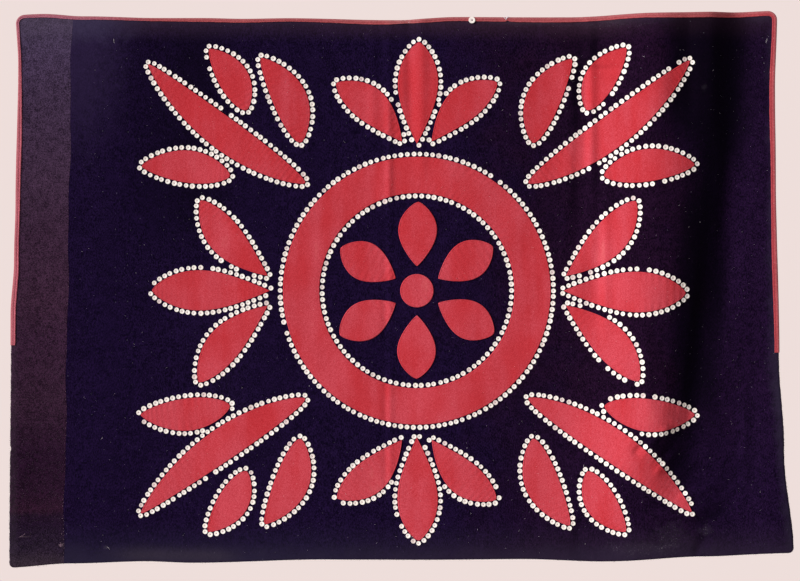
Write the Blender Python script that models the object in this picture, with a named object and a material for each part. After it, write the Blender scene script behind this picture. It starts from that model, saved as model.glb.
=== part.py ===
"""Button blanket: two joined wool panels, a folded red binding and red cut pieces sewn to the front.

The blanket hangs from its top edge. The origin is the middle of that edge on the plane that the
back hangs against. +X runs along the blanket, +Z is up, and the front faces -Y.
"""

import math
from collections import namedtuple

import bmesh
import bpy
from mathutils import Vector

# Thickness of each cloth, and the clearance between neighbouring pieces
CLOTH_THICK = 0.0025
BINDING_THICK = 0.0012
RED_THICK = 0.0015
GAP = 0.0003

# Outline of the joined panels: "at" runs along the edge, "edge" is where the edge lies there
EdgePoint = namedtuple("EdgePoint", "at edge")
TOP_EDGE = (
    EdgePoint(at=-0.86, edge=0.0125),
    EdgePoint(at=-0.80, edge=0.0145),
    EdgePoint(at=-0.71, edge=0.009),
    EdgePoint(at=-0.54, edge=0.005),
    EdgePoint(at=-0.44, edge=0.005),
    EdgePoint(at=-0.34, edge=0.003),
    EdgePoint(at=-0.24, edge=0.0045),
    EdgePoint(at=0.00, edge=0.000),
    EdgePoint(at=0.14, edge=0.007),
    EdgePoint(at=0.40, edge=0.0065),
    EdgePoint(at=0.58, edge=0.0125),
    EdgePoint(at=0.86, edge=0.0195),
)
BOTTOM_EDGE = (
    EdgePoint(at=-0.88, edge=-1.2455),
    EdgePoint(at=-0.74, edge=-1.2365),
    EdgePoint(at=-0.57, edge=-1.2315),
    EdgePoint(at=-0.46, edge=-1.235),
    EdgePoint(at=-0.16, edge=-1.227),
    EdgePoint(at=0.05, edge=-1.228),
    EdgePoint(at=0.29, edge=-1.2265),
    EdgePoint(at=0.46, edge=-1.231),
    EdgePoint(at=0.70, edge=-1.219),
    EdgePoint(at=0.91, edge=-1.210),
)
LEFT_EDGE = (
    EdgePoint(at=0.02, edge=-0.8630),
    EdgePoint(at=-0.10, edge=-0.8575),
    EdgePoint(at=-0.41, edge=-0.8635),
    EdgePoint(at=-0.55, edge=-0.8665),
    EdgePoint(at=-0.67, edge=-0.8740),
    EdgePoint(at=-1.24, edge=-0.8780),
)
RIGHT_EDGE = (
    EdgePoint(at=0.02, edge=0.8665),
    EdgePoint(at=-0.16, edge=0.8605),
    EdgePoint(at=-0.35, edge=0.8620),
    EdgePoint(at=-0.76, edge=0.8695),
    EdgePoint(at=-0.98, edge=0.8800),
    EdgePoint(at=-1.21, edge=0.9045),
)
EDGE_STEP = 0.048
TOP_CORNER_RADIUS = 0.019
BOTTOM_CORNER_RADIUS = 0.011
CORNER_STEPS = 4

# The seam that joins the narrow side panel to the main panel, a little out of plumb
SEAM_TOP_X = -0.736
SEAM_BOTTOM_X = -0.755
SEAM_BOTTOM_Z = -1.235

# The binding: a strip folded over the edge, along the top and part of the way down both sides.
# Its legs widen from the left side to the right, and are a little wider and narrower by turns
BINDING_LEG_LEFT = 0.0062
BINDING_LEG_RIGHT = 0.0102
BINDING_LEG_REACH = 0.85
BINDING_LEG_VARIES = 0.0008
# The left side's leg is wider again below the corner
BINDING_LEG_LOWER_LEFT = 0.0036
BINDING_LEG_LOWER_FROM = -0.02
BINDING_LEG_LOWER_OVER = 0.30
BINDING_WAVE = 0.37
BINDING_END_LEFT = -0.739
BINDING_END_RIGHT = -0.755

# Folds: the crest or trough runs between two points, and "rise" is its height off the wall plane
Fold = namedtuple("Fold", "from_x from_z to_x to_z half_width rise")
FOLDS = (
    Fold(from_x=0.645, from_z=0.5, to_x=0.545, to_z=-1.45, half_width=0.12, rise=0.034),
    Fold(from_x=0.74, from_z=0.5, to_x=0.72, to_z=-1.8, half_width=0.26, rise=0.012),
    Fold(from_x=0.802, from_z=0.3, to_x=0.735, to_z=-0.8, half_width=0.042, rise=-0.016),
    Fold(from_x=0.745, from_z=-0.4, to_x=0.625, to_z=-1.15, half_width=0.042, rise=-0.014),
    Fold(from_x=0.93, from_z=0.3, to_x=0.88, to_z=-1.35, half_width=0.08, rise=0.022),
    Fold(from_x=0.65, from_z=0.06, to_x=0.635, to_z=-0.34, half_width=0.036, rise=-0.008),
    Fold(from_x=0.43, from_z=0, to_x=0.47, to_z=-0.8, half_width=0.036, rise=-0.007),
    Fold(from_x=0.35, from_z=0, to_x=0.34, to_z=-0.7, half_width=0.04, rise=-0.006),
    Fold(from_x=0.48, from_z=-1.04, to_x=0.66, to_z=-0.88, half_width=0.05, rise=0.006),
    Fold(from_x=0.53, from_z=-1.14, to_x=0.75, to_z=-0.99, half_width=0.05, rise=-0.005),
    Fold(from_x=0.86, from_z=-0.75, to_x=0.92, to_z=-1.5, half_width=0.08, rise=0.01),
    Fold(from_x=0.12, from_z=0.4, to_x=0.14, to_z=-1.6, half_width=0.13, rise=0.006),
    Fold(from_x=-0.12, from_z=-0.6, to_x=-0.1, to_z=-1.7, half_width=0.1, rise=0.005),
    Fold(from_x=-0.32, from_z=0.4, to_x=-0.28, to_z=-1.6, half_width=0.15, rise=0.005),
    Fold(from_x=-0.64, from_z=0.3, to_x=-0.66, to_z=-1.6, half_width=0.1, rise=0.005),
    Fold(from_x=-0.86, from_z=-0.3, to_x=-0.88, to_z=-1.6, half_width=0.06, rise=0.006),
)
FOLD_FADE = 0.3
WALL_TOUCH = 0.003

# The cloth is bent only on this lattice, so pieces that lie on each other keep an even gap
LATTICE_ACROSS = 0.036
LATTICE_DOWN = 0.124
LATTICE_SNAP = 0.0001

# Middle of the design, and its ring and disc
DESIGN_X = 0.050
DESIGN_Z = -0.615
RING_OUTER = 0.305
RING_INNER = 0.222
RING_STEPS = 48
DISC_RADIUS = 0.038
DISC_STEPS = 20

# Leaf shapes: "heading" in degrees from +X, "bow" bends the middle line to its left, and a larger
# "fullness" moves the widest place towards the tip
Leaf = namedtuple("Leaf", "x z heading length width bow fullness")
LEAF_STEPS = 9
LEAF_BLUNTNESS = 0.7
PETAL_COUNT = 6
PETAL = Leaf(x=0.056, z=0.0, heading=0, length=0.145, width=0.088, bow=0.0, fullness=1.2)
PALMETTE = (
    Leaf(x=0.334, z=0.000, heading=0, length=0.272, width=0.092, bow=0.000, fullness=1.35),
    Leaf(x=0.340, z=0.034, heading=47, length=0.232, width=0.078, bow=-0.014, fullness=1.25),
    Leaf(x=0.340, z=-0.034, heading=-47, length=0.232, width=0.078, bow=0.014, fullness=1.25),
)
PALMETTE_UPRIGHT_SCALE = 0.86
SPRAY = (
    Leaf(x=0.254, z=0.245, heading=36, length=0.452, width=0.074, bow=-0.022, fullness=0.9),
    Leaf(x=0.264, z=0.337, heading=66, length=0.213, width=0.078, bow=0.020, fullness=0.9),
    Leaf(x=0.387, z=0.411, heading=58, length=0.163, width=0.070, bow=0.012, fullness=0.9),
    Leaf(x=0.425, z=0.262, heading=6, length=0.205, width=0.074, bow=0.010, fullness=0.9),
)

# Hand cutting: each piece in turn is off its true heading (degrees) and length (share) by a wave
HAND_CUT_TURN = 1.2
HAND_CUT_TURN_PHASE = 2.4
HAND_CUT_STRETCH = 0.012
HAND_CUT_STRETCH_PHASE = 3.7

# Colours, linear
NAVY = (0.0075, 0.0036, 0.0190)
BROWN_BLACK = (0.0330, 0.0165, 0.0330)
RED = (0.5300, 0.0320, 0.0420)
FADED_RED = (0.4300, 0.0760, 0.0890)
WOOL_ROUGHNESS = 0.95

# Places along Y of each cloth's faces where the blanket touches the wall plane
BINDING_BACK = 0.0
BINDING_BACK_INSIDE = BINDING_BACK - BINDING_THICK
CLOTH_BACK = BINDING_BACK_INSIDE - GAP
CLOTH_FRONT = CLOTH_BACK - CLOTH_THICK
BINDING_FRONT_INSIDE = CLOTH_FRONT - GAP
BINDING_FRONT = BINDING_FRONT_INSIDE - BINDING_THICK
RED_BACK = CLOTH_FRONT - GAP
RED_FRONT = RED_BACK - RED_THICK

# The binding's flat strip is cut into these two kinds of face
OVER_CLOTH = 0
PAST_EDGE = 1


def smooth(t):
    """Ease from 0 to 1 as t goes from 0 to 1."""
    t = min(max(t, 0.0), 1.0)
    return t * t * (3 - 2 * t)


# Outline of the cloth

def edge_at(points, at):
    """The edge's place at one distance along it, eased between the table's rows."""
    rising = sorted(points)
    for first, last in zip(rising, rising[1:]):
        if at <= last.at:
            break
    share = smooth((at - first.at) / (last.at - first.at))
    return first.edge + (last.edge - first.edge) * share


def stations(start, end):
    """Evenly spaced values from start to end, both included."""
    count = max(1, math.ceil(abs(end - start) / EDGE_STEP))
    return [start + (end - start) * i / count for i in range(count + 1)]


def corner(side_edge_point, level_edge, start_angle, radius):
    """The rounded corner at a side edge's end point, as points clockwise on a quarter circle."""
    x = side_edge_point.edge
    z = edge_at(level_edge, x)
    middle_x = x - math.copysign(radius, x)
    middle_z = z - math.copysign(radius, z - DESIGN_Z)
    arc = []
    for i in range(CORNER_STEPS + 1):
        angle = math.radians(start_angle) - 0.5 * math.pi * i / CORNER_STEPS
        arc.append((middle_x + radius * math.cos(angle), middle_z + radius * math.sin(angle)))
    return arc


def cloth_outline():
    """Points clockwise round the joined panels: those under the binding, and the bare ones."""
    top_left = corner(LEFT_EDGE[0], TOP_EDGE, 180, TOP_CORNER_RADIUS)
    top_right = corner(RIGHT_EDGE[0], TOP_EDGE, 90, TOP_CORNER_RADIUS)
    bottom_right = corner(RIGHT_EDGE[-1], BOTTOM_EDGE, 0, BOTTOM_CORNER_RADIUS)
    bottom_left = corner(LEFT_EDGE[-1], BOTTOM_EDGE, -90, BOTTOM_CORNER_RADIUS)

    left_low = stations(bottom_left[-1][1], BINDING_END_LEFT)[1:-1]
    left_high = stations(BINDING_END_LEFT, top_left[0][1])[:-1]
    top = stations(top_left[-1][0], top_right[0][0])[1:-1]
    right_high = stations(top_right[-1][1], BINDING_END_RIGHT)[1:]
    right_low = stations(BINDING_END_RIGHT, bottom_right[0][1])[1:-1]
    bottom = stations(bottom_right[-1][0], bottom_left[0][0])[1:-1]

    bound = [(edge_at(LEFT_EDGE, z), z) for z in left_high]
    bound += top_left
    bound += [(x, edge_at(TOP_EDGE, x)) for x in top]
    bound += top_right
    bound += [(edge_at(RIGHT_EDGE, z), z) for z in right_high]

    bare = [(edge_at(RIGHT_EDGE, z), z) for z in right_low]
    bare += bottom_right
    bare += [(x, edge_at(BOTTOM_EDGE, x)) for x in bottom]
    bare += bottom_left
    bare += [(edge_at(LEFT_EDGE, z), z) for z in left_low]
    return bound, bare


# The way the cloth hangs

def fold_rise(fold, x, z):
    """How far one fold lifts the cloth off the wall plane at a place."""
    run_x = fold.to_x - fold.from_x
    run_z = fold.to_z - fold.from_z
    length = math.hypot(run_x, run_z)
    along = ((x - fold.from_x) * run_x + (z - fold.from_z) * run_z) / length
    aside = ((x - fold.from_x) * run_z - (z - fold.from_z) * run_x) / length
    fade = FOLD_FADE * length
    ends = smooth(along / fade) * smooth((length - along) / fade)
    return fold.rise * ends * math.exp(-((aside / fold.half_width) ** 2))


def hang(x, z):
    """Distance of the cloth from the wall plane, eased to nought where it touches."""
    rise = sum(fold_rise(fold, x, z) for fold in FOLDS)
    return 0.5 * (rise + math.hypot(rise, WALL_TOUCH))


def hang_on_lattice(x, z):
    """The same distance, flat within each triangle of the lattice."""
    column = math.floor(x / LATTICE_ACROSS)
    row = math.floor(z / LATTICE_DOWN)
    right = x / LATTICE_ACROSS - column
    up = z / LATTICE_DOWN - row

    def knot(i, j):
        return hang((column + i) * LATTICE_ACROSS, (row + j) * LATTICE_DOWN)

    if right + up <= 1:
        base = knot(0, 0)
        return base + right * (knot(1, 0) - base) + up * (knot(0, 1) - base)
    base = knot(1, 1)
    return base + (1 - right) * (knot(0, 1) - base) + (1 - up) * (knot(1, 0) - base)


# Flat cutting and layering

def cut(flat, place, normal):
    """Cut every flat face along one line, given by a point on it and its normal."""
    everything = flat.verts[:] + flat.edges[:] + flat.faces[:]
    bmesh.ops.bisect_plane(
        flat, geom=everything, dist=LATTICE_SNAP, plane_co=place, plane_no=normal
    )


def cut_on_lattice(flat):
    """Cut the flat faces along the lattice's columns, rows and diagonals."""
    columns = [vert.co.x / LATTICE_ACROSS for vert in flat.verts]
    rows = [vert.co.z / LATTICE_DOWN for vert in flat.verts]
    diagonals = [column + row for column, row in zip(columns, rows)]
    for k in range(math.ceil(min(columns)), math.floor(max(columns)) + 1):
        cut(flat, (k * LATTICE_ACROSS, 0, 0), (1, 0, 0))
    for k in range(math.ceil(min(rows)), math.floor(max(rows)) + 1):
        cut(flat, (0, 0, k * LATTICE_DOWN), (0, 0, 1))
    slant = Vector((LATTICE_DOWN, 0, LATTICE_ACROSS)).normalized()
    for k in range(math.ceil(min(diagonals)), math.floor(max(diagonals)) + 1):
        cut(flat, (k * LATTICE_ACROSS, 0, 0), slant)


def flat_faces(outlines, kinds=None):
    """A flat mesh in the XZ plane with one face for each outline, joined where they share points."""
    flat = bmesh.new()
    known = {}
    for i, outline in enumerate(outlines):
        corners = []
        for x, z in outline:
            if (x, z) not in known:
                known[x, z] = flat.verts.new((x, 0, z))
            corners.append(known[x, z])
        face = flat.faces.new(corners)
        face.material_index = kinds[i] if kinds else 0
    return flat


def layered_solid(flat, levels, filled):
    """Close the layers between the levels into a solid that hangs as the cloth does.

    "filled" gives, for each kind of flat face, which of the layers between two levels is cloth.
    """
    flat.verts.index_update()
    solid = bmesh.new()
    lifted = {}
    empty = (False,) * (len(levels) - 1)

    def lift(vert, level):
        key = (vert.index, level)
        if key not in lifted:
            x, z = vert.co.x, vert.co.z
            lifted[key] = solid.verts.new((x, levels[level] - hang_on_lattice(x, z), z))
        return lifted[key]

    for face in flat.faces:
        layers = (False,) + filled[face.material_index] + (False,)
        for level in range(len(levels)):
            if layers[level] != layers[level + 1]:
                solid.faces.new([lift(vert, level) for vert in face.verts])
    for edge in flat.edges:
        beside = [filled[face.material_index] for face in edge.link_faces] + [empty]
        for layer in range(len(levels) - 1):
            if beside[0][layer] != beside[1][layer]:
                first, last = edge.verts
                wall = (lift(first, layer), lift(last, layer), lift(last, layer + 1), lift(first, layer + 1))
                solid.faces.new(wall)
    bmesh.ops.recalc_face_normals(solid, faces=solid.faces[:])
    return solid


def cloth_object(name, flat, levels, filled, material):
    """Cut the flat shape on the lattice, close it into a solid and add it to the scene."""
    cut_on_lattice(flat)
    solid = layered_solid(flat, levels, filled)
    mesh = bpy.data.meshes.new(name)
    solid.to_mesh(mesh)
    solid.free()
    flat.free()
    mesh.materials.append(material)
    piece = bpy.data.objects.new(name, mesh)
    bpy.context.collection.objects.link(piece)
    return piece


def one_sheet(name, outlines, back, front, material):
    """A single thickness of cloth of the outlines' shape."""
    return cloth_object(name, flat_faces(outlines), (back, front), ((True,),), material)


# Materials

def cloth_material(name, colour):
    """A matt wool of one colour."""
    material = bpy.data.materials.new(name)
    material.use_nodes = True
    shader = material.node_tree.nodes["Principled BSDF"]
    shader.inputs["Base Color"].default_value = (*colour, 1.0)
    shader.inputs["Roughness"].default_value = WOOL_ROUGHNESS
    shader.inputs["Metallic"].default_value = 0.0
    return material


# Panels

def seam_x(z):
    """Where the seam lies at a height."""
    return SEAM_TOP_X + (SEAM_BOTTOM_X - SEAM_TOP_X) * z / SEAM_BOTTOM_Z


def panel(name, outline, side, material):
    """The part of the outline on one side of the seam: side is 1 for the right, -1 for the left."""
    flat = flat_faces([outline])
    across = Vector((-SEAM_BOTTOM_Z, 0, SEAM_BOTTOM_X - SEAM_TOP_X)).normalized()
    place = Vector((seam_x(0), 0, 0)) + across * (0.5 * GAP * side)
    everything = flat.verts[:] + flat.edges[:] + flat.faces[:]
    bmesh.ops.bisect_plane(
        flat, geom=everything, dist=LATTICE_SNAP, plane_co=place, plane_no=across * side, clear_inner=True
    )
    return cloth_object(name, flat, (CLOTH_BACK, CLOTH_FRONT), ((True,),), material)


# Binding

def outward_normals(path):
    """The unit normal at each point of a clockwise path, pointing away from the cloth."""
    normals = []
    for i in range(len(path)):
        before = path[max(i - 1, 0)]
        after = path[min(i + 1, len(path) - 1)]
        run = Vector((after[0] - before[0], after[1] - before[1])).normalized()
        normals.append(Vector((-run.y, run.x)))
    return normals


def binding(path, material):
    """The strip folded over the edge: a front and a back leg, joined outside the cloth's edge."""
    legs = []
    insides = []
    outsides = []
    along = 0.0
    for i, (point, normal) in enumerate(zip(path, outward_normals(path))):
        place = Vector(point)
        along += (place - Vector(path[max(i - 1, 0)])).length
        rightward = smooth((place.x + BINDING_LEG_REACH) / (2 * BINDING_LEG_REACH))
        leg = BINDING_LEG_LEFT + (BINDING_LEG_RIGHT - BINDING_LEG_LEFT) * rightward
        leg += BINDING_LEG_VARIES * math.sin(2 * math.pi * along / BINDING_WAVE)
        lower = smooth((BINDING_LEG_LOWER_FROM - place.y) / BINDING_LEG_LOWER_OVER)
        leg += BINDING_LEG_LOWER_LEFT * lower * smooth(-place.x / BINDING_LEG_REACH)
        legs.append(tuple(place - normal * leg))
        insides.append(tuple(place + normal * GAP))
        outsides.append(tuple(place + normal * (GAP + BINDING_THICK)))
    outlines = []
    kinds = []
    for i in range(len(path) - 1):
        outlines.append((legs[i], insides[i], insides[i + 1], legs[i + 1]))
        outlines.append((insides[i], outsides[i], outsides[i + 1], insides[i + 1]))
        kinds += [OVER_CLOTH, PAST_EDGE]
    levels = (BINDING_BACK, BINDING_BACK_INSIDE, BINDING_FRONT_INSIDE, BINDING_FRONT)
    filled = ((True, False, True), (True, True, True))
    return cloth_object("edge_binding", flat_faces(outlines, kinds), levels, filled, material)


# Red cut pieces

def on_circle(radius, steps):
    """Points round a circle about the middle of the design."""
    turns = [2 * math.pi * i / steps for i in range(steps)]
    return [(DESIGN_X + radius * math.cos(turn), DESIGN_Z + radius * math.sin(turn)) for turn in turns]


def ring(material):
    """The ring round the middle flower, cut as one piece."""
    outer = on_circle(RING_OUTER, RING_STEPS)
    inner = on_circle(RING_INNER, RING_STEPS)
    sectors = [(inner[i - 1], outer[i - 1], outer[i], inner[i]) for i in range(RING_STEPS)]
    return one_sheet("medallion_ring", sectors, RED_BACK, RED_FRONT, material)


def leaf_outline(leaf):
    """Points round a pointed leaf, in the design's own frame."""
    heading = math.radians(leaf.heading)
    left = []
    right = []
    for i in range(LEAF_STEPS + 1):
        t = i / LEAF_STEPS
        swell = max(math.sin(math.pi * t ** leaf.fullness), 0.0) ** LEAF_BLUNTNESS
        half = 0.5 * leaf.width * swell if 0 < i < LEAF_STEPS else 0.0
        middle = leaf.bow * 4 * t * (1 - t)
        along = leaf.length * t
        for points, aside in ((left, middle + half), (right, middle - half)):
            x = leaf.x + along * math.cos(heading) - aside * math.sin(heading)
            z = leaf.z + along * math.sin(heading) + aside * math.cos(heading)
            points.append((x, z))
    return left + right[-2:0:-1]


def hand_cut(leaf, count):
    """The same leaf, a little turned and stretched as scissors leave it."""
    turn = HAND_CUT_TURN * math.sin(HAND_CUT_TURN_PHASE * count)
    stretch = 1 + HAND_CUT_STRETCH * math.sin(HAND_CUT_STRETCH_PHASE * count)
    return leaf._replace(heading=leaf.heading + turn, length=leaf.length * stretch)


def turned(leaf, angle, scale=1.0):
    """The leaf carried round the middle of the design by an angle in degrees."""
    turn = math.radians(angle)
    x = leaf.x * math.cos(turn) - leaf.z * math.sin(turn)
    z = leaf.x * math.sin(turn) + leaf.z * math.cos(turn)
    return leaf._replace(x=x, z=z, heading=leaf.heading + angle, length=leaf.length * scale)


def mirrored(outline, flip_x, flip_z):
    """The outline placed on the blanket, flipped about the middle of the design."""
    return [(DESIGN_X + flip_x * x, DESIGN_Z + flip_z * z) for x, z in outline]


def leaves():
    """The name and outline of every leaf-shaped piece."""
    count = 0
    for k in range(PETAL_COUNT):
        count += 1
        petal = hand_cut(turned(PETAL, 360 * (k + 0.5) / PETAL_COUNT), count)
        yield f"medallion_petal_{k + 1}", mirrored(leaf_outline(petal), 1, 1)
    for side, angle in (("right", 0), ("top", 90), ("left", 180), ("bottom", 270)):
        scale = PALMETTE_UPRIGHT_SCALE if side in ("top", "bottom") else 1.0
        for k, leaf in enumerate(PALMETTE):
            count += 1
            placed = hand_cut(turned(leaf, angle, scale), count)
            yield f"palmette_{side}_{k + 1}", mirrored(leaf_outline(placed), 1, 1)
    for flip_x, across in ((1, "right"), (-1, "left")):
        for flip_z, up in ((1, "upper"), (-1, "lower")):
            for k, leaf in enumerate(SPRAY):
                count += 1
                outline = leaf_outline(hand_cut(leaf, count))
                yield f"spray_{up}_{across}_{k + 1}", mirrored(outline, flip_x, flip_z)


def build():
    """Clear the scene and make every piece of the blanket."""
    for piece in list(bpy.data.objects):
        bpy.data.objects.remove(piece, do_unlink=True)
    navy = cloth_material("navy_wool", NAVY)
    brown = cloth_material("brown_black_wool", BROWN_BLACK)
    red = cloth_material("red_wool", RED)
    faded = cloth_material("faded_red_wool", FADED_RED)

    bound, bare = cloth_outline()
    panel("main_panel", bound + bare, 1, navy)
    panel("side_panel", bound + bare, -1, brown)
    binding(bound, faded)
    ring(red)
    one_sheet("medallion_disc", [on_circle(DISC_RADIUS, DISC_STEPS)], RED_BACK, RED_FRONT, red)
    for name, outline in leaves():
        one_sheet(name, [outline], RED_BACK, RED_FRONT, red)


build()
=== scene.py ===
import math
import random

import bmesh
import bpy
import numpy as np
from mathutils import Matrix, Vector


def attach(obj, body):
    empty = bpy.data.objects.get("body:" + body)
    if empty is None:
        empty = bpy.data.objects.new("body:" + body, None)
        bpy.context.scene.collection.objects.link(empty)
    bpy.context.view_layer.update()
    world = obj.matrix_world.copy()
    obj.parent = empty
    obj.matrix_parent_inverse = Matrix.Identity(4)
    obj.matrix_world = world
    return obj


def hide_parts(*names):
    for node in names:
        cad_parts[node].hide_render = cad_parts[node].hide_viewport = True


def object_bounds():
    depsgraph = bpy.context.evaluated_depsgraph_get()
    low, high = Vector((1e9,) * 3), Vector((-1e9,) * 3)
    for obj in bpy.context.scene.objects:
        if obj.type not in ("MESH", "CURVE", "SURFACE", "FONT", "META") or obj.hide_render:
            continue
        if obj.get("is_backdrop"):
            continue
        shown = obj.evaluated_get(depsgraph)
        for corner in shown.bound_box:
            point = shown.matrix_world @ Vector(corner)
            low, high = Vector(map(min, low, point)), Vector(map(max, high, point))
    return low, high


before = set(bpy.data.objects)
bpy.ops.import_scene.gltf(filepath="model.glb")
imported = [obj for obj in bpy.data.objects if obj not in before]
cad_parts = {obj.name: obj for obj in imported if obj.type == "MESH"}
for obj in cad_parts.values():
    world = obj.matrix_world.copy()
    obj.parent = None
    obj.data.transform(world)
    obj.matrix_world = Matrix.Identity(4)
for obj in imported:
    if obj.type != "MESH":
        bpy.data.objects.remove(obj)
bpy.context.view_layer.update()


# Main panel: one wide piece of fulled navy wool, faded bluish along its borders and plum towards
# the right. It hangs from its top edge in soft folds, with old creases from being folded away,
# and its lower edges are left raw.

CLOTH_BACK = -0.0015
CLOTH_FRONT = -0.004
SEAM_GAP = 0.0003
TOP_CORNER = 0.019
BOTTOM_CORNER = 0.011
PANEL_HIGH = 1.235
MIDDLE_HEIGHT = -0.6
RIM_STEP = 0.001
RIM_SINKS = 0.0009
RIM_RISES = 0.0006
MAIN_CELL = 0.0052

TOP_EDGE = (
    (-0.86, 0.0125), (-0.8, 0.0145), (-0.71, 0.009), (-0.54, 0.005), (-0.44, 0.005), (-0.34, 0.003),
    (-0.24, 0.0045), (0.0, 0.0), (0.14, 0.007), (0.4, 0.0065), (0.58, 0.0125), (0.86, 0.0195),
)
BOTTOM_EDGE = (
    (-0.88, -1.2455), (-0.74, -1.2365), (-0.57, -1.2315), (-0.46, -1.235), (-0.16, -1.227),
    (0.05, -1.228), (0.29, -1.2265), (0.46, -1.231), (0.7, -1.219), (0.91, -1.21),
)
LEFT_EDGE = (
    (-1.24, -0.878), (-0.67, -0.874), (-0.55, -0.8665), (-0.41, -0.8635), (-0.1, -0.8575), (0.02, -0.863),
)
RIGHT_EDGE = (
    (-1.21, 0.9045), (-0.98, 0.88), (-0.76, 0.8695), (-0.35, 0.862), (-0.16, 0.8605), (0.02, 0.8665),
)

# Each fold or crease: where it starts (x, z), where it ends (x, z), half its width, and its rise
# off the wall plane, less than nought for a trough
FOLDS = (
    (0.645, 0.5, 0.545, -1.45, 0.12, 0.034),
    (0.74, 0.5, 0.72, -1.8, 0.26, 0.012),
    (0.802, 0.3, 0.735, -0.8, 0.042, -0.016),
    (0.745, -0.4, 0.625, -1.15, 0.042, -0.014),
    (0.93, 0.3, 0.88, -1.35, 0.08, 0.022),
    (0.65, 0.06, 0.635, -0.34, 0.036, -0.008),
    (0.43, 0.0, 0.47, -0.8, 0.036, -0.007),
    (0.35, 0.0, 0.34, -0.7, 0.04, -0.006),
    (0.48, -1.04, 0.66, -0.88, 0.05, 0.006),
    (0.53, -1.14, 0.75, -0.99, 0.05, -0.005),
    (0.86, -0.75, 0.92, -1.5, 0.08, 0.01),
    (0.12, 0.4, 0.14, -1.6, 0.13, 0.006),
    (-0.12, -0.6, -0.1, -1.7, 0.1, 0.005),
    (-0.32, 0.4, -0.28, -1.6, 0.15, 0.005),
    (-0.64, 0.3, -0.66, -1.6, 0.1, 0.005),
    (-0.86, -0.3, -0.88, -1.6, 0.06, 0.006),
)
CREASES = (
    # the old vertical fold near the middle, and the short folds that hang from the top edge
    (-0.024, 0.1, -0.021, -1.35, 0.007, -0.0012),
    (-0.012, 0.1, -0.01, -1.35, 0.008, 0.0012),
    (-0.017, 0.12, -0.02, -0.62, 0.012, 0.0026),
    (0.028, 0.14, 0.036, -0.3, 0.01, -0.0026),
    (0.062, 0.1, 0.06, -0.4, 0.013, 0.0024),
    (-0.052, 0.08, -0.048, -0.34, 0.012, 0.0016),
    # the faint level crease on the left
    (-0.8, -0.585, -0.2, -0.655, 0.01, 0.0014),
    # the upside-down V on the right, with the light ridge inside it and the short crease over it
    (0.44, -0.02, 0.402, -0.62, 0.014, -0.0056),
    (0.436, -0.08, 0.421, -0.46, 0.01, 0.002),
    (0.441, 0.06, 0.452, -0.6, 0.013, 0.0058),
    (0.476, -0.28, 0.478, -0.76, 0.013, 0.0036),
    (0.385, -0.108, 0.52, -0.114, 0.006, -0.002),
    (0.39, -0.097, 0.51, -0.102, 0.007, 0.0014),
    # the small hollows under the top edge, and the folds that run with the long trough
    (0.664, 0.04, 0.672, -0.26, 0.016, -0.004),
    (0.716, 0.1, 0.722, -0.34, 0.018, 0.003),
    (0.745, -0.16, 0.722, -0.62, 0.014, 0.0028),
    (0.69, -0.48, 0.64, -0.98, 0.015, 0.003),
    (0.828, -0.3, 0.82, -0.8, 0.022, -0.0022),
    (0.795, -0.8, 0.792, -1.14, 0.01, 0.0022),
    (0.735, -0.094, 0.868, -0.096, 0.005, 0.0012),
    # wrinkles at the lower right
    (0.56, -0.975, 0.625, -0.918, 0.009, 0.0036),
    (0.535, -0.99, 0.575, -0.945, 0.011, -0.0046),
    (0.6, -1.0, 0.655, -0.925, 0.01, -0.0044),
    (0.58, -1.04, 0.64, -0.975, 0.009, 0.003),
    (0.61, -0.905, 0.7, -0.935, 0.008, 0.0024),
    (0.625, -1.05, 0.7, -0.985, 0.01, 0.0026),
    (0.635, -1.092, 0.758, -1.045, 0.01, 0.0034),
    (0.67, -1.14, 0.775, -1.1, 0.014, -0.0042),
    (0.68, -1.225, 0.712, -1.155, 0.011, -0.004),
    (0.41, -1.24, 0.422, -1.12, 0.013, -0.003),
    (0.5, -1.19, 0.64, -1.15, 0.014, 0.002),
    (0.56, -0.6, 0.575, -0.95, 0.018, 0.0022),
)
FOLD_FADE = 0.3
WALL_TOUCH = 0.003

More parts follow.
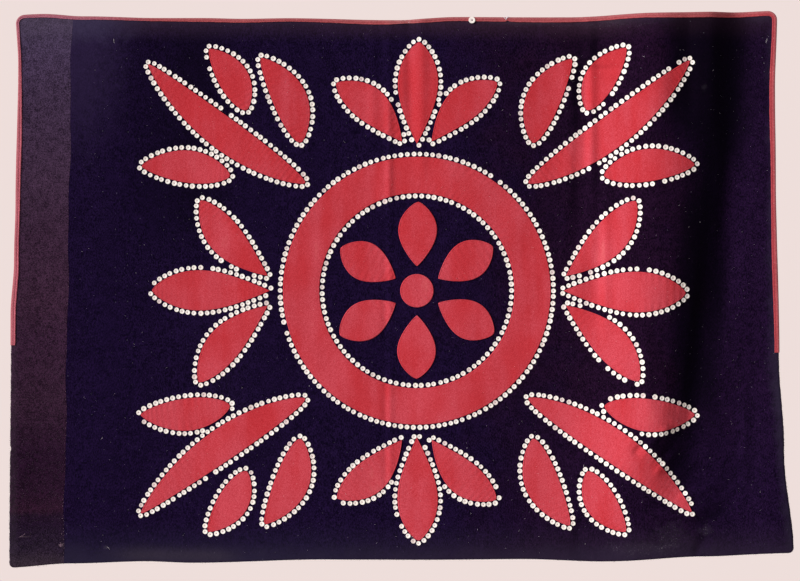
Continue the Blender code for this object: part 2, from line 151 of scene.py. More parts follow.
# Painted shade and painted light in the cloth's colour, with fading and dust: strokes in the same form,
# with a strength in place of the rise. Less than nought is painted shade along the shaded sides and
# hollows of the folds and creases; more than nought is lighter, for fading and dust, chiefly along the
# top and bottom edges, and for painted light along the right margin
SHADE_LIGHT_AND_WEAR = (
    (0.688, 0.26, 0.676, -0.4, 0.064, -0.88),
    (0.786, 0.26, 0.768, -0.44, 0.042, -0.68),
    (0.85, 0.26, 0.85, -0.3, 0.04, -0.3),
    (0.762, 0.1, 0.706, -0.56, 0.032, -0.45),
    (0.72, -0.25, 0.67, -0.98, 0.036, -0.65),
    (0.74, -0.46, 0.715, -1.0, 0.022, -0.45),
    (0.675, -0.7, 0.64, -1.14, 0.042, -0.55),
    (0.414, -0.02, 0.404, -0.52, 0.013, -0.45),
    (0.452, 0.06, 0.458, -0.46, 0.01, -0.5),
    (0.486, -0.3, 0.488, -0.72, 0.011, -0.4),
    (0.43, 0.07, 0.415, -0.24, 0.05, -0.4),
    (0.664, 0.06, 0.65, -0.28, 0.038, -0.45),
    (0.672, -0.3, 0.642, -0.84, 0.034, -0.6),
    (0.752, -0.38, 0.745, -0.76, 0.02, -0.3),
    (0.572, -0.84, 0.585, -1.1, 0.034, -0.42),
    (0.785, -0.965, 0.69, -1.165, 0.028, -0.3),
    (0.802, -0.8, 0.8, -1.12, 0.014, -0.3),
    (0.665, -1.15, 0.775, -1.105, 0.014, -0.45),
    (0.692, -1.26, 0.712, -1.14, 0.011, -0.45),
    (0.418, -1.29, 0.424, -1.08, 0.022, -0.35),
    (0.03, 0.06, 0.036, -0.24, 0.012, -0.3),
    (0.16, 0.001, 0.6, -0.002, 0.009, 0.42),
    (-0.7, -1.215, -0.3, -1.222, 0.022, 0.35),
    (0.44, -1.205, 0.8, -1.19, 0.03, 0.16),
    (0.868, 0.1, 0.895, -1.3, 0.024, 0.1),
    (-0.45, 0.14, -0.46, -0.62, 0.115, -0.6),
    (-0.6, 0.1, -0.59, -0.6, 0.06, -0.16),
    (-0.43, -0.46, -0.38, -1.1, 0.09, 0.05),
    (-0.64, -0.6, -0.16, -0.65, 0.018, 0.12),
)

# Slow unevenness all over the cloth: waves along X and Z in radians a metre, their start and rise
COCKLES = (
    (37.0, 11.0, 0.4, 0.00022),
    (-23.0, 41.0, 1.9, 0.00018),
    (61.0, -29.0, 3.1, 0.00014),
    (17.0, 67.0, 5.2, 0.00012),
    (-83.0, -47.0, 0.9, 0.00008),
    (97.0, 59.0, 2.6, 0.00007),
)


def eased(t):
    """Ease from 0 to 1 as t goes from 0 to 1."""
    t = np.clip(t, 0.0, 1.0)
    return t * t * (3 - 2 * t)


def edge_place(points, at):
    """Where an edge of the blanket lies at a distance along it."""
    along, place = np.array(points).T
    i = np.clip(np.searchsorted(along, at) - 1, 0, len(along) - 2)
    share = eased((at - along[i]) / (along[i + 1] - along[i]))
    return place[i] + (place[i + 1] - place[i]) * share


def seam_x(z):
    """Where the seam between the two panels lies at a height."""
    wander = 0.0016 * np.sin(19.0 * z + 0.6) + 0.001 * np.sin(43.0 * z + 2.1)
    return -0.736 + (-0.755 + 0.736) * z / -1.235 + wander


def fold_rise(fold, x, z):
    """How far one fold or crease lifts the cloth at a place."""
    from_x, from_z, to_x, to_z, half_width, rise = fold
    run_x = to_x - from_x
    run_z = to_z - from_z
    length = math.hypot(run_x, run_z)
    along = ((x - from_x) * run_x + (z - from_z) * run_z) / length
    aside = ((x - from_x) * run_z - (z - from_z) * run_x) / length
    fade = FOLD_FADE * length
    ends = eased(along / fade) * eased((length - along) / fade)
    return rise * ends * np.exp(-((aside / half_width) ** 2))


def hang(x, z):
    """Distance of the cloth from the wall plane."""
    x = np.asarray(x, float)
    z = np.asarray(z, float)
    lifted = sum(fold_rise(fold, x, z) for fold in FOLDS + CREASES)
    cockles = sum(rise * np.sin(a * x + b * z + start) for a, b, start, rise in COCKLES)
    return 0.5 * (lifted + np.hypot(lifted, WALL_TOUCH)) + cockles


def rough(at, seed):
    """A wandering line between -1 and 1, as scissors leave an edge."""
    waves = ((211, 0.45), (507, 0.3), (1130, 0.25))
    return sum(share * np.sin(at * pitch + seed * (k + 1.7)) for k, (pitch, share) in enumerate(waves))


def panel_grid(left, right, across, down):
    """Places on a panel: across and down run from 0 to 1, with its outer corners rounded off."""
    u, v = np.meshgrid(across, down)
    z = -1.23 * v
    for _ in range(4):
        x = left(z) + (right(z) - left(z)) * u
        z = edge_place(TOP_EDGE, x) + (edge_place(BOTTOM_EDGE, x) - edge_place(TOP_EDGE, x)) * v
    side = 1 if right(MIDDLE_HEIGHT) > 0 else -1
    outer = right(z) if side > 0 else left(z)
    top, bottom = edge_place(TOP_EDGE, x), edge_place(BOTTOM_EDGE, x)
    for level, up, radius in ((top, 1, TOP_CORNER), (bottom, -1, BOTTOM_CORNER)):
        a = (side * (x - outer) + radius) / radius
        b = (up * (z - level) + radius) / radius
        near = (a > 0) & (b > 0)
        inner_a = a * np.sqrt(np.clip(1 - b * b / 2, 0, 1))
        inner_b = b * np.sqrt(np.clip(1 - a * a / 2, 0, 1))
        x = np.where(near, outer + side * (inner_a - 1) * radius, x)
        z = np.where(near, level + up * (inner_b - 1) * radius, z)
    return x, z


def spread(length, cell, first):
    """An even number of steps from 0 to 1, with a narrow step at each end for the rounded edge."""
    count = 2 * round(length / cell / 2)
    inner = np.linspace(first / length, 1 - first / length, count - 1)
    return np.concatenate(((0.0,), inner, (1.0,)))


def unit(vectors):
    """Each vector at a length of 1."""
    return vectors / np.linalg.norm(vectors, axis=-1, keepdims=True)


def place_piece(name, mesh, materials, angle=None):
    """Give a mesh its materials and smooth shading, and let the piece ride on the blanket."""
    for material in materials:
        mesh.materials.append(material)
    mesh.shade_smooth()
    if angle:
        mesh.set_sharp_from_angle(angle=math.radians(angle))
    piece = bpy.data.objects.new(name, mesh)
    bpy.context.collection.objects.link(piece)
    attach(piece, "root")
    return piece


def finish_mesh(name, verts, faces, materials, angle=50):
    """Make a smooth-shaded piece of vertices and faces."""
    mesh = bpy.data.meshes.new(name)
    mesh.from_pydata(verts, [], faces)
    mesh.validate()
    return place_piece(name, mesh, materials, angle)


def panel(name, left, right, cell, material, lowered):
    """A panel of two faces and a rounded rim; the back has half as many cells as the front."""
    across = spread(right(MIDDLE_HEIGHT) - left(MIDDLE_HEIGHT), cell, RIM_STEP)
    down = spread(PANEL_HIGH, cell, RIM_STEP)
    x, z = panel_grid(left, right, across, down)
    rows, columns = x.shape
    rim = np.zeros(x.shape)
    rim[0, :] = rim[-1, :] = rim[:, -1 if right(MIDDLE_HEIGHT) > 0 else 0] = 1.0
    front_y = CLOTH_FRONT - hang(x, z) + RIM_SINKS * rim + lowered(x, z)
    front = np.stack((x, front_y, z), -1)
    back_y = CLOTH_BACK - hang(x, z) - RIM_RISES * rim
    back = np.stack((x, back_y, z), -1)[::2, ::2]
    index = np.arange(rows * columns).reshape(rows, columns)
    behind = rows * columns + np.arange(back.shape[0] * back.shape[1]).reshape(back.shape[:2])
    faces = np.stack((index[1:, :-1], index[1:, 1:], index[:-1, 1:], index[:-1, :-1]), -1)
    faces = faces.reshape(-1, 4).tolist()
    turned = np.stack((behind[1:, :-1], behind[:-1, :-1], behind[:-1, 1:], behind[1:, 1:]), -1)
    faces += turned.reshape(-1, 4).tolist()
    for ring, inner in (
        (index[0, :], behind[0, :]),
        (index[:, -1], behind[:, -1]),
        (index[-1, ::-1], behind[-1, ::-1]),
        (index[::-1, 0], behind[::-1, 0]),
    ):
        for k in range(len(inner) - 1):
            first, middle, last = ring[2 * k:2 * k + 3]
            faces.append([int(i) for i in (first, middle, last, inner[k + 1], inner[k])])
    verts = np.concatenate((front.reshape(-1, 3), back.reshape(-1, 3)))
    piece = finish_mesh(name, verts.tolist(), faces, [material])
    # painted shade and light, with fading and dust, for the cloth's colour at each point
    painted_shade_light_and_wear = sum(fold_rise(stroke, verts[:, 0], verts[:, 2]) for stroke in SHADE_LIGHT_AND_WEAR)
    piece.data.attributes.new("painted_shade_light_and_wear", "FLOAT", "POINT").data.foreach_set("value", np.clip(painted_shade_light_and_wear, -1, 1))
    return piece


def add(tree, kind, inputs=None, **settings):
    """Add a node; each input is a value or a socket to link from."""
    node = tree.nodes.new(kind)
    for name, value in settings.items():
        setattr(node, name, value)
    for socket, value in (inputs or {}).items():
        if isinstance(value, bpy.types.NodeSocket):
            tree.links.new(value, node.inputs[socket])
        else:
            node.inputs[socket].default_value = value
    return node


def maths(tree, operation, first, second=0.0, third=0.0):
    """A Math node's result."""
    node = add(tree, "ShaderNodeMath", {0: first, 1: second, 2: third}, operation=operation)
    return node.outputs[0]


def times(tree, first, second):
    """Two numbers multiplied."""
    return maths(tree, "MULTIPLY", first, second)


def scale_add(tree, value, factor, start):
    """A number multiplied by a factor and added to a start."""
    return maths(tree, "MULTIPLY_ADD", value, factor, start)


def noise(tree, where, scale, detail, roughness=0.5, distortion=0.0):
    """A noise texture's number."""
    inputs = {"Vector": where, "Scale": scale, "Detail": detail, "Roughness": roughness}
    return add(tree, "ShaderNodeTexNoise", {**inputs, "Distortion": distortion}).outputs[0]


def blend(tree, share, first, second, how="MIX"):
    """Two colours mixed by a share."""
    first, second = ((*tint, 1) if isinstance(tint, tuple) else tint for tint in (first, second))
    node = add(tree, "ShaderNodeMix", {0: share, 6: first, 7: second}, data_type="RGBA", blend_type=how)
    return node.outputs[2]


def tinted(tree, colour, mask, strength, tint):
    """A colour with a tint over it, where a mask is and as strong as stated."""
    return blend(tree, times(tree, mask, strength), colour, tint)


def multiplied(tree, colour, factors):
    """A colour with its red, green and blue multiplied."""
    return blend(tree, 1.0, colour, factors, "MULTIPLY")


def mottled(tree, colour, share, low, high):
    """A colour darker in some places and lighter in others, by a share."""
    return blend(tree, share, multiplied(tree, colour, low), multiplied(tree, colour, high))


def fade_between(tree, value, low, high):
    """0 where the value is under low, 1 where it is over high, and eased between."""
    inputs = {"Value": value, "From Min": low, "From Max": high}
    node = add(tree, "ShaderNodeMapRange", inputs, interpolation_type="SMOOTHSTEP")
    return node.outputs[0]


def new_group(name, inputs, outputs):
    """An empty node group with named number sockets, and the nodes at its two ends."""
    tree = bpy.data.node_groups.new(name, "ShaderNodeTree")
    for socket, value in inputs.items():
        made = tree.interface.new_socket(socket, in_out="INPUT", socket_type="NodeSocketFloat")
        made.default_value = value
    for socket in outputs:
        tree.interface.new_socket(socket, in_out="OUTPUT", socket_type="NodeSocketFloat")
    return tree, tree.nodes.new("NodeGroupInput"), tree.nodes.new("NodeGroupOutput")


def use(tree, group, **inputs):
    """Place a node group in a material and return its outputs."""
    node = tree.nodes.new("ShaderNodeGroup")
    node.node_tree = group
    for socket, value in inputs.items():
        node.inputs[socket].default_value = value
    return node.outputs


def places(tree):
    """The Object coordinates, whole and as separate numbers."""
    whole = tree.nodes.new("ShaderNodeTexCoord").outputs["Object"]
    split = add(tree, "ShaderNodeSeparateXYZ", {0: whole})
    return whole, split.outputs[0], split.outputs[2]


def new_material(name):
    """An empty material, its tree and its shader."""
    material = bpy.data.materials.new(name)
    material.use_nodes = True
    tree = material.node_tree
    return material, tree, tree.nodes["Principled BSDF"]


def surface(tree, shader, colour, roughness, height, strength, distance, **fixed):
    """Link a shader's colour, roughness and bump, and set its fixed values."""
    bump = add(tree, "ShaderNodeBump", {"Height": height, "Strength": strength, "Distance": distance})
    for socket, made in (("Base Color", colour), ("Roughness", roughness), ("Normal", bump.outputs[0])):
        tree.links.new(made, shader.inputs[socket])
    for socket, value in fixed.items():
        shader.inputs[socket.replace("_", " ")].default_value = value


# Fulled wool close up: felted fibres over a faint twill
wool_nap, ends, result = new_group("wool_nap", {"Fibre": 1.0, "Twill": 0.3}, ("Height", "Shade"))
whole, x_place, z_place = places(wool_nap)
warped = add(wool_nap, "ShaderNodeTexNoise", {"Vector": whole, "Scale": 160.0, "Detail": 2.0})
drift = {0: warped.outputs["Color"], "Scale": 0.004}
drift = add(wool_nap, "ShaderNodeVectorMath", drift, operation="SCALE")
lying = add(wool_nap, "ShaderNodeVectorMath", {0: whole, 1: drift.outputs[0]}, operation="ADD")
fine = times(wool_nap, ends.outputs["Fibre"], 900.0)
felt = noise(wool_nap, lying.outputs[0], fine, 3.0)
combed = add(wool_nap, "ShaderNodeMapping", {"Vector": lying.outputs[0], "Scale": (1.0, 1.0, 0.22)})
hair = times(wool_nap, ends.outputs["Fibre"], 1500.0)
hairs = noise(wool_nap, combed.outputs[0], hair, 2.0)
slanted = times(wool_nap, x_place, 3900.0)
slanted = maths(wool_nap, "ADD", slanted, times(wool_nap, z_place, 3100.0))
twill = times(wool_nap, maths(wool_nap, "SINE", slanted), ends.outputs["Twill"])
height = maths(wool_nap, "ADD", felt, times(wool_nap, hairs, 0.6))
height = scale_add(wool_nap, twill, 0.25, height)
wool_nap.links.new(height, result.inputs["Height"])
shade = scale_add(wool_nap, hairs, 0.5, times(wool_nap, felt, 0.5))
wool_nap.links.new(fade_between(wool_nap, shade, 0.36, 0.64), result.inputs["Shade"])

# Lint: specks of pale fluff, one in some of the cells of a scattered pattern
lint_specks, ends, result = new_group("lint_specks", {"Cells": 60.0, "Share": 0.2, "Size": 0.06}, ("Mask",))
whole, x_place, z_place = places(lint_specks)
flat = add(lint_specks, "ShaderNodeCombineXYZ", {0: x_place, 1: z_place})
cells = add(
    lint_specks, "ShaderNodeTexVoronoi", {"Vector": flat.outputs[0], "Scale": ends.outputs["Cells"]},
    voronoi_dimensions="2D",
)
chance = add(lint_specks, "ShaderNodeSeparateXYZ", {0: cells.outputs["Color"]})
chosen = maths(lint_specks, "LESS_THAN", chance.outputs[0], ends.outputs["Share"])
reach = times(lint_specks, ends.outputs["Size"], maths(lint_specks, "ADD", chance.outputs[1], 0.5))
edge = maths(lint_specks, "SUBTRACT", 1.0, maths(lint_specks, "DIVIDE", cells.outputs["Distance"], reach))
speck = fade_between(lint_specks, edge, 0.0, 0.6)
lint_specks.links.new(times(lint_specks, speck, chosen), result.inputs["Mask"])


def with_lint(tree, colour, kinds, tint):
    """Specks over a colour; a kind is its cells a metre, share of cells, size and strength."""
    for cells, share, size, strength in kinds:
        mask = use(tree, lint_specks, Cells=cells, Share=share, Size=size)["Mask"]
        colour = tinted(tree, colour, mask, strength, tint)
    return colour


# A soft patch of fading, dust or rubbing about one place
soft_patch, ends, result = new_group(
    "soft_patch", {"X": 0.0, "Z": 0.0, "Wide": 0.05, "High": 0.05, "Slant": 0.0, "Broken": 0.5}, ("Mask",)
)
whole, x_place, z_place = places(soft_patch)
off_x = maths(soft_patch, "SUBTRACT", x_place, ends.outputs["X"])
off_z = maths(soft_patch, "SUBTRACT", z_place, ends.outputs["Z"])
off_z = maths(soft_patch, "SUBTRACT", off_z, times(soft_patch, off_x, ends.outputs["Slant"]))
off_x = maths(soft_patch, "DIVIDE", off_x, ends.outputs["Wide"])
off_z = maths(soft_patch, "DIVIDE", off_z, ends.outputs["High"])
away = maths(soft_patch, "SQRT", scale_add(soft_patch, off_x, off_x, times(soft_patch, off_z, off_z)))
clouds = noise(soft_patch, whole, 70.0, 4.0, 0.65)
torn = times(soft_patch, maths(soft_patch, "SUBTRACT", clouds, 0.5), ends.outputs["Broken"])
away = scale_add(soft_patch, torn, 2.5, away)
soft_patch.links.new(fade_between(soft_patch, away, 1.0, 0.2), result.inputs["Mask"])

# Fading along the blanket's own outer border
border_fade, ends, result = new_group("border_fade", {"Width": 0.06}, ("Mask",))
whole, x_place, z_place = places(border_fade)
clouds = noise(border_fade, whole, 28.0, 5.0, 0.6)
flared = times(border_fade, fade_between(border_fade, z_place, -0.74, -1.24), 0.036)
flared = times(border_fade, flared, maths(border_fade, "GREATER_THAN", x_place, 0.0))
to_side = maths(border_fade, "SUBTRACT", 0.868, maths(border_fade, "ABSOLUTE", x_place))
to_side = times(border_fade, maths(border_fade, "ADD", to_side, flared), 1.5)
to_bottom = maths(border_fade, "ADD", z_place, 1.232)
to_top = times(border_fade, maths(border_fade, "SUBTRACT", 0.006, z_place), 2.4)
nearest = maths(border_fade, "MINIMUM", to_side, maths(border_fade, "MINIMUM", to_top, to_bottom))
share = maths(border_fade, "DIVIDE", nearest, ends.outputs["Width"])
share = maths(border_fade, "ADD", share, scale_add(border_fade, clouds, 1.2, -0.6))
border_fade.links.new(fade_between(border_fade, share, 1.1, -0.1), result.inputs["Mask"])

navy_wool, tree, shader = new_material("navy_wool_cloth")
whole, x_place, z_place = places(tree)
clouds = noise(tree, whole, 7.0, 5.0, 0.6)
blotches = noise(tree, whole, 60.0, 4.0, 0.7)
woven = add(tree, "ShaderNodeMapping", {"Vector": whole, "Scale": (1.0, 1.0, 0.55)})
grain = noise(tree, woven.outputs[0], 420.0, 2.0, 0.8)
nap = use(tree, wool_nap, Fibre=1.0, Twill=0.35)
rightward = maths(tree, "ADD", x_place, scale_add(tree, clouds, 0.5, -0.25))
bluer = times(tree, fade_between(tree, rightward, 0.56, 0.72), 0.45)
lower = times(tree, fade_between(tree, z_place, -0.8, -1.1), 0.3)
plum = times(tree, fade_between(tree, rightward, 0.05, 0.42), maths(tree, "SUBTRACT", 1.0, bluer))
plum = maths(tree, "SUBTRACT", plum, times(tree, lower, plum))
colour = blend(tree, plum, (0.0066, 0.0027, 0.0185), (0.0088, 0.0024, 0.0115))
tone = scale_add(tree, blotches, 0.24, times(tree, grain, 0.76))
tone = scale_add(tree, nap["Shade"], 0.06, tone)
shaded = fade_between(tree, tone, 0.4, 0.68)
colour = mottled(tree, colour, shaded, (0.34, 0.3, 0.38), (2.1, 2.05, 2.0))
border = use(tree, border_fade, Width=0.044)["Mask"]
colour = tinted(tree, colour, border, maths(tree, "ADD", tone, 0.25), (0.022, 0.0165, 0.035))
# a bluish bloom lies over the lower border and the top left corner
cloudy = maths(tree, "ADD", tone, 0.1)
rightwards = fade_between(tree, x_place, -0.3, 0.4)
bloom_tint = blend(tree, rightwards, (0.0165, 0.013, 0.036), (0.0215, 0.013, 0.031))
colour = tinted(tree, colour, fade_between(tree, z_place, -1.125, -1.24), cloudy, bloom_tint)
for patch_z, wide, high, broken, shade in (
    (-0.02, 0.175, 0.37, 0.2, (0.025, 0.015, 0.05)),
    (0.012, 0.25, 0.08, 0.22, (0.048, 0.038, 0.084)),
):
    corner = use(tree, soft_patch, X=-0.735, Z=patch_z, Wide=wide, High=high, Broken=broken)["Mask"]
    colour = tinted(tree, colour, corner, cloudy, shade)
# painted shade: darker along the folds' shaded sides and hollows, where the strokes are less than nought
painted_shade_light_and_wear = add(tree, "ShaderNodeAttribute", attribute_name="painted_shade_light_and_wear").outputs["Fac"]
painted_fold_shade = times(tree, fade_between(tree, painted_shade_light_and_wear, 0.0, -1.0), 0.85)
colour = blend(tree, painted_fold_shade, colour, (0.0016, 0.0007, 0.0034))
# another bluish bloom lies under the top binding, weaker over the deep folds at the right
high = times(tree, fade_between(tree, z_place, -0.055, 0.004), cloudy)
high = times(tree, high, fade_between(tree, x_place, -0.69, -0.56))
weaker = scale_add(tree, fade_between(tree, x_place, 0.46, 0.58), -0.65, 1.0)
rightwards = fade_between(tree, x_place, -0.35, 0.05)
high_tint = blend(tree, rightwards, (0.032, 0.0175, 0.037), (0.04, 0.019, 0.034))
colour = tinted(tree, colour, high, weaker, high_tint)
# lighter where the strokes are more than nought: fading and dust at the edges, and painted light along the
# right margin
dust_and_painted_light = fade_between(tree, times(tree, painted_shade_light_and_wear, maths(tree, "ADD", tone, 0.5)), 0.0, 0.9)
colour = blend(tree, dust_and_painted_light, colour, (0.05, 0.04, 0.056))
# rubbed and linty places: x, z, half width, half height and strength
for patch_x, patch_z, wide, high, strength in (
    (0.625, -1.168, 0.05, 0.036, 0.22),
    (0.705, -1.16, 0.02, 0.016, 0.3),
    (0.465, -0.01, 0.15, 0.01, 0.15),
    (0.7, -0.155, 0.01, 0.01, 0.35),
    (-0.66, -1.199, 0.008, 0.006, 0.6),
    (0.56, -1.2, 0.11, 0.022, 0.16),
):
    mask = use(tree, soft_patch, X=patch_x, Z=patch_z, Wide=wide, High=high, Broken=0.9)["Mask"]
    flecks = use(tree, lint_specks, Cells=230.0, Share=0.4, Size=0.3)["Mask"]
    mask = times(tree, mask, scale_add(tree, flecks, 0.85, 0.15))
    colour = tinted(tree, colour, mask, strength, (0.15, 0.13, 0.175))
kinds = ((36.0, 0.2, 0.026, 0.45), (110.0, 0.12, 0.06, 0.16))
colour = with_lint(tree, colour, kinds, (0.28, 0.26, 0.34))
surface(
    tree, shader, colour, scale_add(tree, nap["Shade"], -0.1, 0.97), nap["Height"], 0.45, 0.0006,
    Specular_IOR_Level=0.02, Sheen_Weight=0.015, Sheen_Roughness=0.6, Sheen_Tint=(0.4, 0.25, 0.6, 1.0),
)


def main_left(z):
    return seam_x(z) + 0.5 * SEAM_GAP


def main_right(z):
    return edge_place(RIGHT_EDGE, z) + 0.0005 * rough(z, 2.0) * eased((-0.74 - z) / 0.03)


def seam_valley(x, z):
    """How far the cloth sinks beside the seam."""
    return 0.0002 * np.exp(-(((x - seam_x(z)) / 0.0035) ** 2))


main_cloth = panel("main_panel_cloth", main_left, main_right, MAIN_CELL, navy_wool, seam_valley)
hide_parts("main_panel")

# Along the join each panel's edge is turned to the back, where the two lie flat as one narrow strip
strip_z = np.linspace(-0.014, -1.224, 260)
strip_x = np.stack([seam_x(strip_z) + reach for reach in (-0.007, 0.007, 0.007, -0.007)], 1)
strip_y = np.array((-0.0013, -0.0013, -0.0004, -0.0004)) - hang(strip_x, strip_z[:, None])
verts = np.stack((strip_x, strip_y, np.repeat(strip_z[:, None], 4, 1)), -1)
index = np.arange(4 * len(strip_z)).reshape(-1, 4)
around = np.roll(index, -1, axis=1)
faces = np.stack((index[:-1], index[1:], around[1:], around[:-1]), -1).reshape(-1, 4).tolist()
faces += [index[0].tolist(), index[-1, ::-1].tolist()]
turned_edges = finish_mesh("turned_seam_edges", verts.reshape(-1, 3).tolist(), faces, [navy_wool])
turned_edges.data.attributes.new("painted_shade_light_and_wear", "FLOAT", "POINT")


# Side panel: a narrow strip of another wool, brown-black and fuzzier, faded to grey at the top and
# rubbed along its raw lower edges. It is joined to the main panel's left edge with small stitches
# that show as pinkish dots.

SIDE_CELL = 0.0033

brown_wool, tree, shader = new_material("brown_black_wool_cloth")
whole, x_place, z_place = places(tree)
clouds = noise(tree, whole, 9.0, 5.0, 0.65)
blotches = noise(tree, whole, 75.0, 4.0, 0.75)
grain = noise(tree, whole, 330.0, 2.0, 0.8)
nap = use(tree, wool_nap, Fibre=0.6, Twill=0.1)
height = maths(tree, "ADD", z_place, scale_add(tree, clouds, 0.05, -0.025))
along = add(tree, "ShaderNodeMapRange", {"Value": height, "From Min": -1.24, "From Max": 0.01})
ramp = add(tree, "ShaderNodeValToRGB", {"Fac": along.outputs[0]})
stops = (
    (0.0, (0.025, 0.016, 0.0265)), (0.03, (0.0145, 0.0085, 0.02)), (0.07, (0.0105, 0.0042, 0.015)),
    (0.09, (0.012, 0.0045, 0.015)), (0.1, (0.02, 0.006, 0.017)), (0.135, (0.0145, 0.0042, 0.0145)),
    (0.2, (0.014, 0.0041, 0.015)), (0.3, (0.0255, 0.01, 0.0235)), (0.41, (0.0265, 0.01, 0.026)),
    (0.48, (0.032, 0.013, 0.029)), (0.61, (0.031, 0.014, 0.0315)), (0.7, (0.0365, 0.019, 0.04)),
    (0.78, (0.0355, 0.02, 0.043)), (0.87, (0.0385, 0.024, 0.0515)), (0.955, (0.047, 0.032, 0.069)),
    (1.0, (0.068, 0.05, 0.092)),
)
ramp.color_ramp.elements.remove(ramp.color_ramp.elements[1])
ramp.color_ramp.elements[0].position = stops[0][0]
ramp.color_ramp.elements[0].color = (*stops[0][1], 1)
for place, shade in stops[1:]:
    ramp.color_ramp.elements.new(place).color = (*shade, 1)
tone = scale_add(tree, blotches, 0.35, times(tree, grain, 0.65))
tone = scale_add(tree, nap["Shade"], 0.08, tone)
shaded = fade_between(tree, tone, 0.4, 0.68)
colour = mottled(tree, ramp.outputs[0], shaded, (0.36, 0.3, 0.38), (2.0, 1.95, 2.0))
border = use(tree, border_fade, Width=0.02)["Mask"]
colour = tinted(tree, colour, border, 0.16, (0.055, 0.042, 0.056))
colour = tinted(tree, colour, fade_between(tree, height, -0.1, 0.03), 0.55, (0.053, 0.042, 0.07))
for patch_x, patch_z, wide, high, strength in (
    (-0.845, -1.175, 0.018, 0.002, 0.4),
    (-0.86, -0.2, 0.012, 0.2, 0.3),
    (-0.76, -1.195, 0.007, 0.006, 0.4),
):
    mask = use(tree, soft_patch, X=patch_x, Z=patch_z, Wide=wide, High=high, Broken=0.9)["Mask"]
    colour = tinted(tree, colour, mask, strength, (0.13, 0.09, 0.115))
kinds = ((60.0, 0.18, 0.035, 0.3), (170.0, 0.2, 0.11, 0.14))
colour = with_lint(tree, colour, kinds, (0.27, 0.22, 0.29))
relief = scale_add(tree, grain, 1.2, nap["Height"])
surface(
    tree, shader, colour, scale_add(tree, nap["Shade"], -0.06, 1.0), relief, 0.7, 0.001,
    Specular_IOR_Level=0.02, Sheen_Weight=0.03, Sheen_Roughness=0.7, Sheen_Tint=(0.5, 0.4, 0.5, 1.0),
)


def side_left(z):
    nick = 0.0035 * np.exp(-(((z + 0.974) / 0.004) ** 2))
    return edge_place(LEFT_EDGE, z) + (0.0007 * rough(z, 5.0) + nick) * eased((-0.73 - z) / 0.03)


def side_right(z):
    return seam_x(z) - 0.5 * SEAM_GAP


side_cloth = panel("side_panel_cloth", side_left, side_right, SIDE_CELL, brown_wool, seam_valley)
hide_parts("side_panel")


def cloth_axes(x, z, heading):
    """At each place: along the heading on the cloth, across it, and straight off its front."""
    step = 0.0004
    slope_x = (hang(x + step, z) - hang(x - step, z)) / (2 * step)
    slope_z = (hang(x, z + step) - hang(x, z - step)) / (2 * step)
    off = unit(np.stack((-slope_x, -np.ones(len(x)), -slope_z), -1))
    run = np.stack((np.cos(heading), np.zeros(len(x)), np.sin(heading)), -1)
    run = unit(run - off * np.sum(off * run, axis=1, keepdims=True))
    return run, np.cross(off, run), off


def sewn_copies(name, model, rows, level, materials):
    """Copy a small model to many places on the cloth and join the copies into one piece.

    A model is its vertices, faces, the material of each face and a UV for each vertex. A row is x, z,
    heading, size along, across and off the cloth, height above the level, a tone for its colour, and
    how far it leans, if it does.
    """
    points, model_faces, slots, flat_places = model
    rows = np.array([(*row, 0.0)[:9] for row in rows], float)
    x, z, heading, along, across, thick, above, tone, lean = rows.T
    run, side, off = cloth_axes(x, z, heading)
    run, off = run + off * lean[:, None], off - run * lean[:, None]
    base = np.stack((x, level - hang(x, z), z), -1) + off * above[:, None]
    local = np.array(points)
    verts = (
        base[:, None, :]
        + run[:, None, :] * (local[None, :, 0] * along[:, None])[:, :, None]
        + side[:, None, :] * (local[None, :, 1] * across[:, None])[:, :, None]
        + off[:, None, :] * (local[None, :, 2] * thick[:, None])[:, :, None]
    )
    count = len(local)
    faces = [[i + copy * count for i in face] for copy in range(len(rows)) for face in model_faces]
    piece = finish_mesh(name, verts.reshape(-1, 3).tolist(), faces, materials, angle=40)
    mesh = piece.data
    mesh.polygons.foreach_set("material_index", slots * len(rows))
    shades = mesh.attributes.new("tone", "FLOAT", "POINT")
    shades.data.foreach_set("value", np.repeat(tone, count))
    uv = mesh.uv_layers.new(name="UVMap")
    corner = np.zeros(len(mesh.loops), int)
    mesh.loops.foreach_get("vertex_index", corner)
    uv.data.foreach_set("uv", np.array(flat_places)[corner % count].ravel())
    return piece


# One stitch, or one fibre: a bead that dives into the cloth at both ends
STITCH = (
    [(-0.5, -0.5, -0.3), (0.5, -0.5, -0.3), (0.5, 0.5, -0.3), (-0.5, 0.5, -0.3), (-0.28, 0, 1), (0.28, 0, 1)],
    [(0, 3, 2, 1), (0, 1, 5, 4), (2, 3, 4, 5), (1, 2, 5), (3, 0, 4)],
    [0] * 5,
    [(0, 0), (1, 0), (1, 1), (0, 1), (0.3, 0.5), (0.7, 0.5)],
)


def thread_material(name, colour, tints):
    """Spun thread: a colour that wanders a little, with its twist as bump."""
    material, tree, shader = new_material(name)
    whole = tree.nodes.new("ShaderNodeTexCoord").outputs["Object"]
    colour = tinted(tree, colour, noise(tree, whole, 45.0, 3.0), tints, (0.55, 0.47, 0.52))
    twist = noise(tree, whole, 2600.0, 2.0)
    matt = scale_add(tree, twist, 0.2, 0.7)
    surface(tree, shader, colour, matt, twist, 0.6, 0.0003, Specular_IOR_Level=0.2)
    return material


